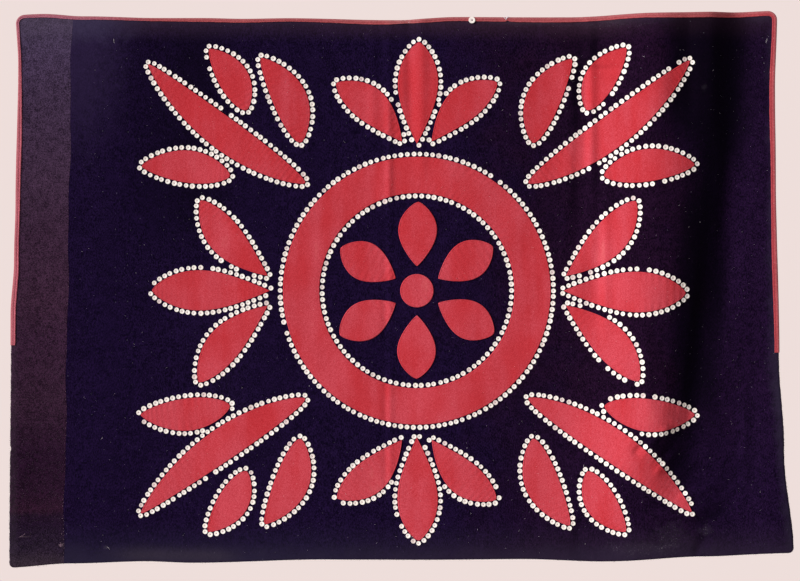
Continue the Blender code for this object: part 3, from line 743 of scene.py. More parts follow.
pink_thread = thread_material("pinkish_thread", (0.3, 0.18, 0.26), 0.3)
random.seed(11)
seam_rows = []
z = -0.016
while z > -1.222:
    loose = -1.215 < z < -1.06
    x = seam_x(z) - 0.001 + random.uniform(-0.0008, 0.0008)
    heading = random.uniform(-0.6, 0.6) + (1.2 if loose else 0.2)
    long = random.uniform(0.0014, 0.0026) * (1.5 if loose else 1.0)
    seam_rows.append((x, z, heading, long, 0.0007, 0.0006, -0.0004, random.random()))
    z -= random.uniform(0.011, 0.021) * (0.6 if loose else 1.0)
seam_stitches = sewn_copies("seam_stitches", STITCH, seam_rows, CLOTH_FRONT, [pink_thread])


# Binding: one strip of faded red wool, folded lengthways over the raw edge along the whole top and
# part of the way down both sides, and sewn through. It is duller along the fold, with a painted
# highlight there and painted shade along its inner edge, paler and more lilac at the top left, and
# worn thin in two places at the top.

BINDING_THICK = 0.0012
BINDING_FRONT = -0.0055
BINDING_GAP = 0.0003
BINDING_STEP = 0.005
BINDING_LOW_LEFT = -0.739
BINDING_LOW_RIGHT = -0.755


def binding_path():
    """Points along the bound edge of the cloth, from the lower left end round to the lower right."""
    path = [(edge_place(LEFT_EDGE, BINDING_LOW_LEFT), BINDING_LOW_LEFT)]
    left_z = np.arange(-0.735, -0.01, BINDING_STEP)
    path += list(zip(edge_place(LEFT_EDGE, left_z), left_z))
    for side, edge in ((-1, LEFT_EDGE), (1, RIGHT_EDGE)):
        corner_x = float(edge_place(edge, 0.0))
        corner_z = float(edge_place(TOP_EDGE, corner_x))
        middle = (corner_x - side * TOP_CORNER, corner_z - TOP_CORNER)
        arc = []
        for k in range(9):
            turn = 0.5 * math.pi * k / 8
            out, up = (math.cos(turn), math.sin(turn)) if side < 0 else (math.sin(turn), math.cos(turn))
            arc.append((middle[0] + side * TOP_CORNER * out, middle[1] + TOP_CORNER * up))
        if side < 0:
            path = [point for point in path if point[1] < middle[1] - 0.002] + arc
            top_x = np.arange(middle[0] + BINDING_STEP, 0.864 - TOP_CORNER - 0.002, BINDING_STEP)
            path += list(zip(top_x, edge_place(TOP_EDGE, top_x)))
        else:
            path += arc
            right_z = np.arange(middle[1] - BINDING_STEP, BINDING_LOW_RIGHT + 0.003, -BINDING_STEP)
            path += list(zip(edge_place(RIGHT_EDGE, right_z), right_z))
    path.append((float(edge_place(RIGHT_EDGE, BINDING_LOW_RIGHT)), BINDING_LOW_RIGHT))
    return np.array(path, float)


def reached_along(line):
    """Distance along a line of points at each of them."""
    return np.concatenate(((0.0,), np.cumsum(np.linalg.norm(np.diff(line, axis=0), axis=1))))


def binding_leg(along, x, z):
    """Width of the binding's leg on the cloth, narrower at the two worn places at the top."""
    leg = 0.0062 + 0.004 * eased((x + 0.85) / 1.7) + 0.0008 * np.sin(2 * math.pi * along / 0.37)
    leg = leg + 0.0036 * eased((-0.02 - z) / 0.3) * eased(-x / 0.85)
    top = eased((z + 0.05) / 0.03)
    leg = leg + 0.0003 * rough(along, 3.0) - top * 0.002 * np.exp(-(((x - 0.024) / 0.03) ** 2))
    return leg - top * 0.003 * np.exp(-(((x - 0.257) / 0.004) ** 2))


path = binding_path()
run = unit(np.gradient(path, axis=0))
outward = np.stack((-run[:, 1], run[:, 0]), -1)
binding_along = reached_along(path)
leg = binding_leg(binding_along, path[:, 0], path[:, 1])

# The strip in section: share of the leg (0 at its inner edge, 1 at the cloth's edge), distance past
# the edge, and place along Y; first the outer face from front to back, then the inner face
PAST = BINDING_GAP + BINDING_THICK
SECTION = (
    (0.0, 0.0, -0.0045), (-0.03, 0.0, -0.0049), (0.0, 0.0, -0.0054), (0.06, 0.0, -0.0057),
    (0.18, 0.0, -0.0058), (0.3, 0.0, -0.0056), (0.38, 0.0, -0.0051), (0.46, 0.0, -0.0056),
    (0.6, 0.0, -0.0059), (0.78, 0.0, -0.0058), (0.92, 0.0, -0.0055), (1.0, 0.35 * PAST, -0.0051),
    (1.0, 0.8 * PAST, -0.0041), (1.0, PAST, -0.0028), (1.0, 0.8 * PAST, -0.0014),
    (1.0, 0.35 * PAST, -0.0004), (0.92, 0.0, 0.0), (0.6, 0.0, 0.0), (0.38, 0.0, -0.0002),
    (0.15, 0.0, 0.0), (0.0, 0.0, -0.0002), (-0.03, 0.0, -0.0006), (0.0, 0.0, -0.001),
    (0.3, 0.0, -0.0012), (0.7, 0.0, -0.0012), (1.0, 0.5 * BINDING_GAP, -0.0013),
    (1.0, BINDING_GAP, -0.0028), (1.0, 0.5 * BINDING_GAP, -0.0042), (0.7, 0.0, -0.0043),
    (0.3, 0.0, -0.0043),
)
verts = []
for share, past, level in SECTION:
    puff = 0.00025 * np.sin(binding_along / 0.021 + 2.0 * share) if level < -0.005 else 0.0
    place = path + outward * (past - (1 - share) * leg * (1.0 if past == 0 else 0.0))[:, None]
    y = level - puff - hang(place[:, 0], place[:, 1])
    verts.append(np.stack((place[:, 0], y, place[:, 1]), -1))
verts = np.stack(verts, 1)
stations, points, _ = verts.shape
index = np.arange(stations * points).reshape(stations, points)
around = np.roll(index, -1, axis=1)
faces = np.stack((index[:-1], index[1:], around[1:], around[:-1]), -1).reshape(-1, 4).tolist()
faces += [index[0].tolist(), index[-1, ::-1].tolist()]

binding_wool, tree, shader = new_material("faded_red_binding_wool")
whole, x_place, z_place = places(tree)
strip = tree.nodes.new("ShaderNodeUVMap")
strip.uv_map = "UVMap"
strip_split = add(tree, "ShaderNodeSeparateXYZ", {0: strip.outputs[0]})
across_strip = strip_split.outputs[1]
clouds = noise(tree, whole, 12.0, 4.0, 0.6)
mottle = noise(tree, whole, 260.0, 3.0, 0.7)
nap = use(tree, wool_nap, Fibre=1.1, Twill=0.5)
sideways = maths(tree, "ADD", x_place, scale_add(tree, clouds, 0.3, -0.15))
lilac = fade_between(tree, sideways, -0.5, -0.84)
colour = blend(tree, lilac, (0.44, 0.088, 0.1), (0.53, 0.13, 0.175))
high_left = use(tree, soft_patch, X=-0.78, Z=0.01, Wide=0.26, High=0.12, Broken=0.4)["Mask"]
colour = tinted(tree, colour, high_left, 0.8, (0.45, 0.16, 0.235))
colour = blend(tree, fade_between(tree, sideways, 0.7, 0.86), colour, (0.37, 0.048, 0.06))
# painted highlight: paler and duller along the rounded fold
painted_fold_highlight = fade_between(tree, across_strip, 0.42, 0.66)
colour = tinted(tree, colour, painted_fold_highlight, 0.6, (0.37, 0.125, 0.135))
# painted shade: darker along the inner edge, where the binding turns under onto the cloth
painted_inner_edge_shade = fade_between(tree, across_strip, 0.16, 0.04)
colour = tinted(tree, colour, painted_inner_edge_shade, 0.45, (0.24, 0.042, 0.06))
tone = scale_add(tree, mottle, 0.6, times(tree, nap["Shade"], 0.4))
tone = fade_between(tree, tone, 0.3, 0.7)
colour = mottled(tree, colour, tone, (0.7, 0.6, 0.62), (1.1, 1.2, 1.2))
worn = use(tree, soft_patch, X=0.02, Z=0.0, Wide=0.05, High=0.02, Broken=1.0)["Mask"]
colour = tinted(tree, colour, worn, 0.25, (0.58, 0.26, 0.26))
colour = with_lint(tree, colour, ((120.0, 0.16, 0.08, 0.45),), (0.75, 0.55, 0.55))
surface(
    tree, shader, colour, scale_add(tree, nap["Shade"], -0.1, 0.95), nap["Height"], 0.6, 0.0005,
    Specular_IOR_Level=0.1, Sheen_Weight=0.05, Sheen_Roughness=0.6, Sheen_Tint=(0.9, 0.5, 0.5, 1.0),
)

binding = finish_mesh("edge_binding_cloth", verts.reshape(-1, 3).tolist(), faces, [binding_wool], angle=70)
uv = binding.data.uv_layers.new(name="UVMap")
corner = np.zeros(len(binding.data.loops), int)
binding.data.loops.foreach_get("vertex_index", corner)
around_share = np.array([k / points for k in range(points)]) * 2
strip_uv = np.stack((np.repeat(binding_along, points), np.tile(around_share, stations)), -1)
uv.data.foreach_set("uv", strip_uv[corner].ravel())
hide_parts("edge_binding")

red_thread = thread_material("dull_red_thread", (0.25, 0.03, 0.04), 0.15)
random.seed(23)
binding_rows = []
at = 0.004
while at < binding_along[-1] - 0.004:
    k = int(np.searchsorted(binding_along, at)) - 1
    place = path[k] + run[k] * (at - binding_along[k]) - outward[k] * 0.62 * leg[k]
    heading = math.atan2(run[k][1], run[k][0]) + random.uniform(-0.15, 0.15)
    long = random.uniform(0.0026, 0.0034)
    binding_rows.append((*place, heading, long, 0.0006, 0.0005, 0.0, random.random()))
    at += random.uniform(0.006, 0.0078)
binding_stitches = sewn_copies("binding_stitches", STITCH, binding_rows, -0.0051, [red_thread])


# Red pieces: a ring, a disc, petals and leaves cut from thinner bright red wool. Each edge is turned
# under by a few millimetres and sewn down with small running stitches, which draw the cloth into
# slight puckers.

DESIGN_X = 0.05
DESIGN_Z = -0.615
RING_OUTER = 0.305
RING_INNER = 0.222
DISC_RADIUS = 0.038
RED_BACK = -0.0043
RED_THICK = 0.0015
EDGE_ROUND = 0.0013
HEM_RISE = 0.00035
GROOVE_DEPTH = 0.00045
STITCH_INSET = 0.0032

# Leaves: start x and z from the middle of the design, heading in degrees, length, width, bow of the
# middle line to its left, and fullness, which moves the widest place towards the tip
PETAL = (0.056, 0.0, 0, 0.145, 0.088, 0.0, 1.2)
PALMETTE = (
    (0.334, 0.0, 0, 0.272, 0.092, 0.0, 1.35),
    (0.34, 0.034, 47, 0.232, 0.078, -0.014, 1.25),
    (0.34, -0.034, -47, 0.232, 0.078, 0.014, 1.25),
)
SPRAY = (
    (0.254, 0.245, 36, 0.452, 0.074, -0.022, 0.9),
    (0.264, 0.337, 66, 0.213, 0.078, 0.02, 0.9),
    (0.387, 0.411, 58, 0.163, 0.07, 0.012, 0.9),
    (0.425, 0.262, 6, 0.205, 0.074, 0.01, 0.9),
)


def turned(leaf, angle, scale=1.0):
    """The leaf carried round the middle of the design."""
    x, z, heading, length, width, bow, fullness = leaf
    turn = math.radians(angle)
    around_x = x * math.cos(turn) - z * math.sin(turn)
    around_z = x * math.sin(turn) + z * math.cos(turn)
    return around_x, around_z, heading + angle, length * scale, width, bow, fullness


def leaf_list():
    """Every leaf: its name, its shape as the scissors left it, and how it is mirrored."""
    found = [(f"medallion_petal_{k + 1}", turned(PETAL, 60 * k + 30), 1, 1) for k in range(6)]
    for side, angle in (("right", 0), ("top", 90), ("left", 180), ("bottom", 270)):
        scale = 0.86 if side in ("top", "bottom") else 1.0
        for k, leaf in enumerate(PALMETTE, start=1):
            found.append((f"palmette_{side}_{k}", turned(leaf, angle, scale), 1, 1))
    for flip_x, side in ((1, "right"), (-1, "left")):
        for flip_z, up in ((1, "upper"), (-1, "lower")):
            for k, leaf in enumerate(SPRAY, start=1):
                found.append((f"spray_{up}_{side}_{k}", leaf, flip_x, flip_z))
    cut = []
    for count, (name, leaf, flip_x, flip_z) in enumerate(found, start=1):
        x, z, heading, length, width, bow, fullness = leaf
        heading += 1.2 * math.sin(2.4 * count)
        length *= 1 + 0.012 * math.sin(3.7 * count)
        cut.append((name, (x, z, heading, length, width, bow, fullness), flip_x, flip_z))
    return cut


def leaf_half(leaf, t):
    """Half the leaf's width at a share of its length."""
    return 0.5 * leaf[4] * np.clip(np.sin(math.pi * t ** leaf[6]), 0, 1) ** 0.7


def leaf_place(leaf, flip_x, flip_z, t, aside):
    """A place on the leaf, from its share along and its distance to the left of the middle line."""
    x, z, heading, length, _, bow, _ = leaf
    turn = math.radians(heading)
    along = length * t
    aside = aside + bow * 4 * t * (1 - t)
    place_x = x + along * math.cos(turn) - aside * math.sin(turn)
    place_z = z + along * math.sin(turn) + aside * math.cos(turn)
    return DESIGN_X + flip_x * place_x, DESIGN_Z + flip_z * place_z


def red_height(inset):
    """How far the red cloth's front stands off its back, from the distance to its edge."""
    rounded = np.sqrt(np.clip(1 - (1 - np.clip(inset / EDGE_ROUND, 0, 1)) ** 2, 0, 1))
    hem = HEM_RISE * np.exp(-(((inset - 0.0014) / 0.0012) ** 2))
    groove = GROOVE_DEPTH * np.exp(-(((inset - STITCH_INSET) / 0.001) ** 2))
    return RED_THICK * rounded + (hem - groove) * rounded


def puckers(inset, along, seed):
    """Small ripples that run in from the sewn edge."""
    pitch = along / 0.0125 + 0.7 * np.sin(along / 0.031 + seed) + seed
    strength = 0.00036 * (1 + 0.6 * np.sin(along / 0.067 + 2 * seed))
    fades = np.exp(-inset / 0.014) * (1 - np.exp(-((inset / 0.003) ** 2)))
    return strength * np.sin(2 * math.pi * pitch) * fades


def turned_outwards(name, shape):
    """The mesh of an edited shape, with its faces turned outwards."""
    bmesh.ops.recalc_face_normals(shape, faces=shape.faces[:])
    mesh = bpy.data.meshes.new(name)
    shape.to_mesh(mesh)
    shape.free()
    return mesh


def red_piece(name, front, front_inset, front_along, back, closed, material, seed):
    """A red piece from two grids of places: a fine front one and a coarse back one, on one outline.

    If the last column is the middle of a disc, it isn't an edge and stays on its own face.
    """
    front_x, front_z = front
    back_x, back_z = back
    lift = red_height(front_inset) + puckers(front_inset, front_along, seed)
    y = RED_BACK - hang(front_x, front_z) - lift
    front_points = np.stack((front_x, y, front_z), -1)
    back_points = np.stack((back_x, RED_BACK - hang(back_x, back_z), back_z), -1)
    rows, columns, _ = front_points.shape
    back_columns = back_points.shape[1]
    index = np.arange(rows * columns).reshape(rows, columns)
    behind = rows * columns + np.arange(rows * back_columns).reshape(rows, back_columns)
    behind[:, 0] = index[:, 0]
    if np.ptp(front_x[:, -1]) > 0.0001:
        behind[:, -1] = index[:, -1]
    if closed:
        index = np.vstack((index, index[:1]))
        behind = np.vstack((behind, behind[:1]))
    faces = np.stack((index[:-1, :-1], index[:-1, 1:], index[1:, 1:], index[1:, :-1]), -1).reshape(-1, 4)
    under = np.stack((behind[:-1, :-1], behind[1:, :-1], behind[1:, 1:], behind[:-1, 1:]), -1)
    verts = np.concatenate((front_points.reshape(-1, 3), back_points.reshape(-1, 3)))
    shape = bmesh.new()
    made = [shape.verts.new(place) for place in verts.tolist()]
    for face in faces.tolist() + under.reshape(-1, 4).tolist():
        shape.faces.new([made[i] for i in face])
    bmesh.ops.remove_doubles(shape, verts=shape.verts[:], dist=0.00001)
    bmesh.ops.delete(shape, geom=[vert for vert in shape.verts if not vert.link_faces], context="VERTS")
    return place_piece(name, turned_outwards(name, shape), [material], 70)


def lay_red(node):
    """Hide the imported part that a red piece stands for."""
    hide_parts(node)


red_wool, tree, shader = new_material("bright_red_wool_cloth")
whole, x_place, z_place = places(tree)
clouds = noise(tree, whole, 8.0, 5.0, 0.55)
streaked = add(tree, "ShaderNodeMapping", {"Vector": whole, "Scale": (1.0, 1.0, 0.16)})
streaks = noise(tree, streaked.outputs[0], 30.0, 3.0)
mottle = noise(tree, whole, 330.0, 3.0, 0.7)
nap = use(tree, wool_nap, Fibre=1.2, Twill=0.5)
faded = scale_add(tree, streaks, 0.45, times(tree, clouds, 0.55))
faded = scale_add(tree, z_place, -0.1, faded)
faded = fade_between(tree, faded, 0.42, 0.68)
colour = blend(tree, faded, (0.525, 0.032, 0.044), (0.57, 0.06, 0.084))
tone = scale_add(tree, mottle, 0.6, times(tree, nap["Shade"], 0.4))
tone = fade_between(tree, tone, 0.32, 0.7)
colour = mottled(tree, colour, tone, (0.8, 0.52, 0.55), (1.08, 1.4, 1.4))
rubbed = fade_between(tree, times(tree, streaks, clouds), 0.36, 0.46)
colour = tinted(tree, colour, rubbed, 0.22, (0.68, 0.18, 0.19))
colour = with_lint(tree, colour, ((70.0, 0.12, 0.05, 0.3),), (0.8, 0.5, 0.5))
surface(
    tree, shader, colour, scale_add(tree, nap["Shade"], -0.1, 0.95), nap["Height"], 0.5, 0.0005,
    Specular_IOR_Level=0.1, Sheen_Weight=0.05, Sheen_Roughness=0.6, Sheen_Tint=(1.0, 0.5, 0.5, 1.0),
)

# Shares of the way in from an edge: close together at the edge, where the cloth is turned under
INWARD = (np.arange(14) / 13) ** 1.8
ACROSS = np.concatenate((INWARD - 1, 1 - INWARD[-2::-1]))
BACK_ACROSS = np.linspace(-1, 1, 9)
outlines = []
stitch_paths = []

for seed, (name, leaf, flip_x, flip_z) in enumerate(leaf_list()):
    steps = round(leaf[3] / 0.0028)
    t = 0.5 - 0.5 * np.cos(math.pi * np.linspace(0, 1, steps + 1))
    t = 0.35 * t + 0.65 * np.linspace(0, 1, steps + 1)
    half = leaf_half(leaf, t)
    half[0] = half[-1] = 0.0
    front = leaf_place(leaf, flip_x, flip_z, t[:, None], half[:, None] * ACROSS[None, :])
    back = leaf_place(leaf, flip_x, flip_z, t[:, None], half[:, None] * BACK_ACROSS[None, :])
    ends = np.minimum(t, 1 - t) * leaf[3]
    inset = np.minimum(half[:, None] * (1 - np.abs(ACROSS))[None, :], ends[:, None])
    along = np.broadcast_to((t * leaf[3])[:, None], inset.shape)
    piece = red_piece(f"{name}_cloth", front, inset, along, back, False, red_wool, 0.37 * seed)
    lay_red(name)
    fine_t = np.linspace(0, 1, 241)
    fine_half = leaf_half(leaf, fine_t)
    fine_half[0] = fine_half[-1] = 0.0
    left = np.stack(leaf_place(leaf, flip_x, flip_z, fine_t, fine_half), -1)
    right = np.stack(leaf_place(leaf, flip_x, flip_z, fine_t, -fine_half), -1)
    outlines.append((name, np.concatenate((left, right[-2:0:-1]))))
    wide = fine_half > 1.6 * STITCH_INSET
    for side in (1, -1):
        sewn = np.stack(leaf_place(leaf, flip_x, flip_z, fine_t, side * (fine_half - STITCH_INSET)), -1)
        stitch_paths.append(sewn[wide])

turns = np.linspace(0, 2 * math.pi, 521)[:-1]
ring_middle = 0.5 * (RING_OUTER + RING_INNER)
ring_half = 0.5 * (RING_OUTER - RING_INNER)


def round_place(turns, radius):
    """Places round the middle of the design."""
    return DESIGN_X + radius * np.cos(turns), DESIGN_Z + radius * np.sin(turns)


front = round_place(turns[:, None], ring_middle + ring_half * ACROSS[None, :])
back = round_place(turns[:, None], ring_middle + ring_half * BACK_ACROSS[None, :])
inset = np.broadcast_to(ring_half * (1 - np.abs(ACROSS))[None, :], (len(turns), len(ACROSS)))
along = turns[:, None] * (ring_middle + 0.3 * ring_half * ACROSS[None, :])
ring = red_piece("medallion_ring_cloth", front, inset, along, back, True, red_wool, 5.0)
lay_red("medallion_ring")

disc_turns = turns[::8]
front = round_place(disc_turns[:, None], DISC_RADIUS * (1 - INWARD)[None, :])
back = round_place(disc_turns[:, None], DISC_RADIUS * np.linspace(1, 0, 5)[None, :])
inset = np.broadcast_to(DISC_RADIUS * INWARD[None, :], (len(disc_turns), len(INWARD)))
along = np.broadcast_to(disc_turns[:, None] * DISC_RADIUS, inset.shape)
disc = red_piece("medallion_disc_cloth", front, inset, along, back, True, red_wool, 2.0)
lay_red("medallion_disc")

ring_outer = np.stack(round_place(turns, RING_OUTER), -1)
ring_inner = np.stack(round_place(turns, RING_INNER), -1)
for radius in (RING_OUTER - STITCH_INSET, RING_INNER + STITCH_INSET, DISC_RADIUS - STITCH_INSET):
    stitch_paths.append(np.stack(round_place(np.append(turns, 0.0), radius), -1))

random.seed(31)
red_rows = []
for sewn in stitch_paths:
    if len(sewn) < 3:
        continue
    reached = reached_along(sewn)
    at = 0.002
    while at < reached[-1] - 0.002:
        x = float(np.interp(at, reached, sewn[:, 0]))
        z = float(np.interp(at, reached, sewn[:, 1]))
        ahead_x = float(np.interp(at + 0.001, reached, sewn[:, 0]))
        ahead_z = float(np.interp(at + 0.001, reached, sewn[:, 1]))
        heading = math.atan2(ahead_z - z, ahead_x - x) + random.uniform(-0.18, 0.18)
        long = random.uniform(0.0022, 0.0032)
        red_rows.append((x, z, heading, long, 0.00055, 0.0005, 0.0, random.random()))
        at += random.uniform(0.0055, 0.0075)
sewn_height = RED_BACK - float(red_height(np.array(STITCH_INSET)))
sewn_copies("red_edge_stitches", STITCH, red_rows, sewn_height, [red_thread])


# Pearl buttons: small discs of white shell with a raised rim, a dished middle and a sunk centre
# where dark thread holds them. They stand in single rows against the edges of the red pieces, a
# little unevenly, and a few are lost. The six petals have none.

BUTTON_ACROSS = 0.0114
BUTTON_PITCH = 0.0142
BUTTON_OUT = 0.0062
SHARE_LOST = 0.012


def select_faces(test):
    """In edit mode, select the faces whose middle and normal pass the test, and no others."""
    shape = bmesh.from_edit_mesh(bpy.context.object.data)
    for face in shape.faces:
        face.select_set(bool(test(face.calc_center_median(), face.normal)))
    bmesh.update_edit_mesh(bpy.context.object.data)


def turn_button(sides, thick, round_steps):
    """Turn a button 1 across from a disc, and leave it in edit mode with its centre face selected."""
    bpy.ops.object.select_all(action="DESELECT")
    bpy.ops.mesh.primitive_cylinder_add(vertices=sides, radius=0.5, depth=thick, location=(0, 0, thick / 2))
    bpy.ops.object.mode_set(mode="EDIT")
    bpy.ops.mesh.select_mode(type="FACE")
    select_faces(lambda middle, normal: normal.z < -0.9)
    bpy.ops.transform.resize(value=(0.92, 0.92, 1.0), center_override=(0, 0, 0))
    select_faces(lambda middle, normal: normal.z > 0.9)
    bpy.ops.mesh.bevel(offset=0.035, segments=round_steps)
    select_faces(lambda middle, normal: normal.z > 0.99)
    bpy.ops.mesh.inset(thickness=0.075)
    bpy.ops.mesh.inset(thickness=0.19, depth=-0.035)


turn_button(12, 0.19, 1)
bpy.ops.mesh.inset(thickness=0.11, depth=-0.045)
bpy.ops.mesh.primitive_cube_add(size=1.0, scale=(0.15, 0.045, 0.045), location=(0, 0, 0.122))
bpy.ops.object.mode_set(mode="OBJECT")
pattern = bpy.context.object
button_points = [tuple(vert.co) for vert in pattern.data.vertices]
button_faces = [tuple(face.vertices) for face in pattern.data.polygons]
button_slots = [1 if k >= len(button_faces) - 6 else 0 for k in range(len(button_faces))]
button_uv = [(x + 0.5, y + 0.5) for x, y, _ in button_points]
BUTTON = (button_points, button_faces, button_slots, button_uv)
bpy.data.objects.remove(pattern, do_unlink=True)

pearl, tree, shader = new_material("shell_pearl")
whole = tree.nodes.new("ShaderNodeTexCoord").outputs["Object"]
own = add(tree, "ShaderNodeAttribute", attribute_name="tone").outputs["Fac"]
face_place = tree.nodes.new("ShaderNodeUVMap")
face_place.uv_map = "UVMap"
centred = {0: face_place.outputs[0], 1: (0.5, 0.5, 0.0)}
centred = add(tree, "ShaderNodeVectorMath", centred, operation="SUBTRACT")
middle = add(tree, "ShaderNodeVectorMath", {0: centred.outputs[0]}, operation="LENGTH").outputs["Value"]
colour = blend(tree, own, (0.9, 0.85, 0.78), (0.95, 0.92, 0.88))
colour = tinted(tree, colour, fade_between(tree, own, 0.1, 0.02), 0.7, (0.62, 0.5, 0.51))
growth = noise(tree, whole, 420.0, 3.0, distortion=1.5)
rosy = fade_between(tree, growth, 0.45, 0.62)
colour = tinted(tree, colour, rosy, 0.25, (0.93, 0.79, 0.77))
green = fade_between(tree, growth, 0.46, 0.34)
colour = tinted(tree, colour, green, 0.18, (0.8, 0.87, 0.82))
sunk = fade_between(tree, middle, 0.15, 0.09)
colour = tinted(tree, colour, sunk, 0.55, (0.56, 0.36, 0.36))
polish = scale_add(tree, growth, 0.25, 0.22)
surface(tree, shader, colour, polish, growth, 0.15, 0.0004, Coat_Weight=0.25, Coat_Roughness=0.15)

dark_thread = thread_material("dark_rosy_thread", (0.26, 0.13, 0.14), 0.2)


def inside(outline, place):
    """Whether a place lies within a closed outline."""
    x, z = outline.T
    next_x, next_z = np.roll(outline, -1, axis=0).T
    crossed = (z > place[1]) != (next_z > place[1])
    rise = np.where(next_z == z, 1.0, next_z - z)
    return np.count_nonzero(crossed & (place[0] < x + (next_x - x) * (place[1] - z) / rise)) % 2 == 1


def row_along(outline, out):
    """Places at the buttons' pitch along a line that runs outside a closed outline."""
    x, z = outline.T
    if np.sum(x * np.roll(z, -1) - z * np.roll(x, -1)) < 0:
        outline = outline[::-1]
    run = unit(np.roll(outline, -1, axis=0) - np.roll(outline, 1, axis=0))
    line = outline + np.stack((run[:, 1], -run[:, 0]), -1) * out
    line = np.concatenate((line, line[:1]))
    reached = reached_along(line)
    count = round(reached[-1] / BUTTON_PITCH)
    uneven = 0.1 * np.array([random.uniform(-1, 1) for _ in range(count)])
    at = (np.arange(count) + uneven) * reached[-1] / count
    at = at % reached[-1]
    return np.stack((np.interp(at, reached, line[:, 0]), np.interp(at, reached, line[:, 1])), -1)


random.seed(47)
sewn_on = []
button_rows = {"medallion": [], "palmette": [], "spray": []}
lines = [("medallion_ring", ring_outer, BUTTON_OUT), ("medallion_ring", ring_inner, -BUTTON_OUT)]
lines += [(name, outline, BUTTON_OUT) for name, outline in outlines if "petal" not in name]
for name, outline, out in lines:
    for place in row_along(outline, out):
        size = min(max(random.gauss(BUTTON_ACROSS, 0.0005), 0.0102), 0.0124)
        close = any(math.dist((x, z), place) < 0.5 * (across + size) + 0.0001 for x, z, across in sewn_on)
        lost = random.random() < SHARE_LOST
        if close or lost:
            continue
        others = [(other, points) for other, points in outlines if other != name]
        if name != "medallion_ring":
            others.append(("medallion_ring", ring_outer))
        near = min(float(np.min(np.hypot(*(points - place).T))) for _, points in others)
        if near < 0.0042 or any(inside(points, place) for _, points in others):
            continue
        bridging = near < 0.5 * size + 0.0004
        sewn_on.append((place[0], place[1], size))
        button_rows[name.split("_")[0]].append((
            place[0], place[1], random.uniform(0, 2 * math.pi), size, size, BUTTON_ACROSS,
            0.0019 if bridging else 0.0, random.random(), random.uniform(-0.05, 0.05),
        ))
for group, rows in button_rows.items():
    sewn_copies(f"{group}_pearl_buttons", BUTTON, rows, CLOTH_FRONT, [pearl, dark_thread])

# On the back, thread runs from each button to the next
float_rows = []
for first, last in zip(sewn_on, sewn_on[1:]):
    length = math.dist(first[:2], last[:2])
    if length < 0.022:
        heading = math.atan2(last[1] - first[1], last[0] - first[0])
        x, z = 0.5 * (first[0] + last[0]), 0.5 * (first[1] + last[1])
        float_rows.append((x, z, heading, length * 1.04, 0.0005, -0.0006, 0.0, random.random()))
back_threads = sewn_copies("back_thread_runs", STITCH, float_rows, CLOTH_BACK, [dark_thread])
back_threads.data.flip_normals()


# Large button: one bigger shell button with four holes, sewn to the binding at the top with two
# crossed threads.

turn_button(40, 0.16, 3)
bpy.ops.mesh.inset(thickness=0.02, depth=-0.004)
bpy.ops.object.mode_set(mode="OBJECT")
large = bpy.context.object
large.name = "large_top_button"
for k in range(4):
    turn = math.pi / 4 + k * math.pi / 2
    bpy.ops.object.select_all(action="DESELECT")
    bpy.ops.mesh.primitive_cylinder_add(
        vertices=16, radius=0.048, depth=0.5, location=(0.105 * math.cos(turn), 0.105 * math.sin(turn), 0.05)
    )
    drill = bpy.context.object
    bpy.context.view_layer.objects.active = large
    hole = large.modifiers.new("hole", "BOOLEAN")
    hole.operation = "DIFFERENCE"
    hole.solver = "EXACT"
    hole.object = drill
    bpy.ops.object.modifier_apply(modifier=hole.name)
    bpy.data.objects.remove(drill, do_unlink=True)
LARGE_X, LARGE_Z, LARGE_ACROSS = 0.1751, 0.001, 0.015
shape = bmesh.new()
shape.from_mesh(large.data)
bmesh.ops.triangulate(shape, faces=[face for face in shape.faces if len(face.verts) > 4])
axes = cloth_axes(np.array([LARGE_X]), np.array([LARGE_Z]), np.array([0.3]))
flat_run, flat_side, flat_off = (axis[0] for axis in axes)
seat = np.array((LARGE_X, BINDING_FRONT - 0.0005 - float(hang(LARGE_X, LARGE_Z)), LARGE_Z))
uv_layer = shape.loops.layers.uv.verify()
for face in shape.faces:
    for loop in face.loops:
        loop[uv_layer].uv = (loop.vert.co.x + 0.5, loop.vert.co.y + 0.5)
for vert in shape.verts:
    x, y, z = vert.co * LARGE_ACROSS
    vert.co = seat + flat_run * x + flat_side * y + flat_off * z
bmesh.ops.recalc_face_normals(shape, faces=shape.faces[:])
shape.to_mesh(large.data)
shape.free()
large.location = (0, 0, 0)
large.data.materials.clear()
large.data.materials.append(pearl)
large.data.uv_layers[0].name = "UVMap"
shades = large.data.attributes.new("tone", "FLOAT", "POINT")
shades.data.foreach_set("value", [0.6] * len(large.data.vertices))
large.data.shade_smooth()
large.data.set_sharp_from_angle(angle=math.radians(35))
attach(large, "root")
cross_rows = [
    (LARGE_X, LARGE_Z, 0.3 + turn, 0.0042, 0.0008, 0.0007, 0.0017, 0.5)
    for turn in (math.pi / 4, -math.pi / 4)
]
sewn_copies("large_button_threads", STITCH, cross_rows, BINDING_FRONT, [pink_thread])


# Loose fibres: the raw lower edges shed wool, lint clings to the front, and pale ends of thread
# stand up at worn places and at some of the buttons.

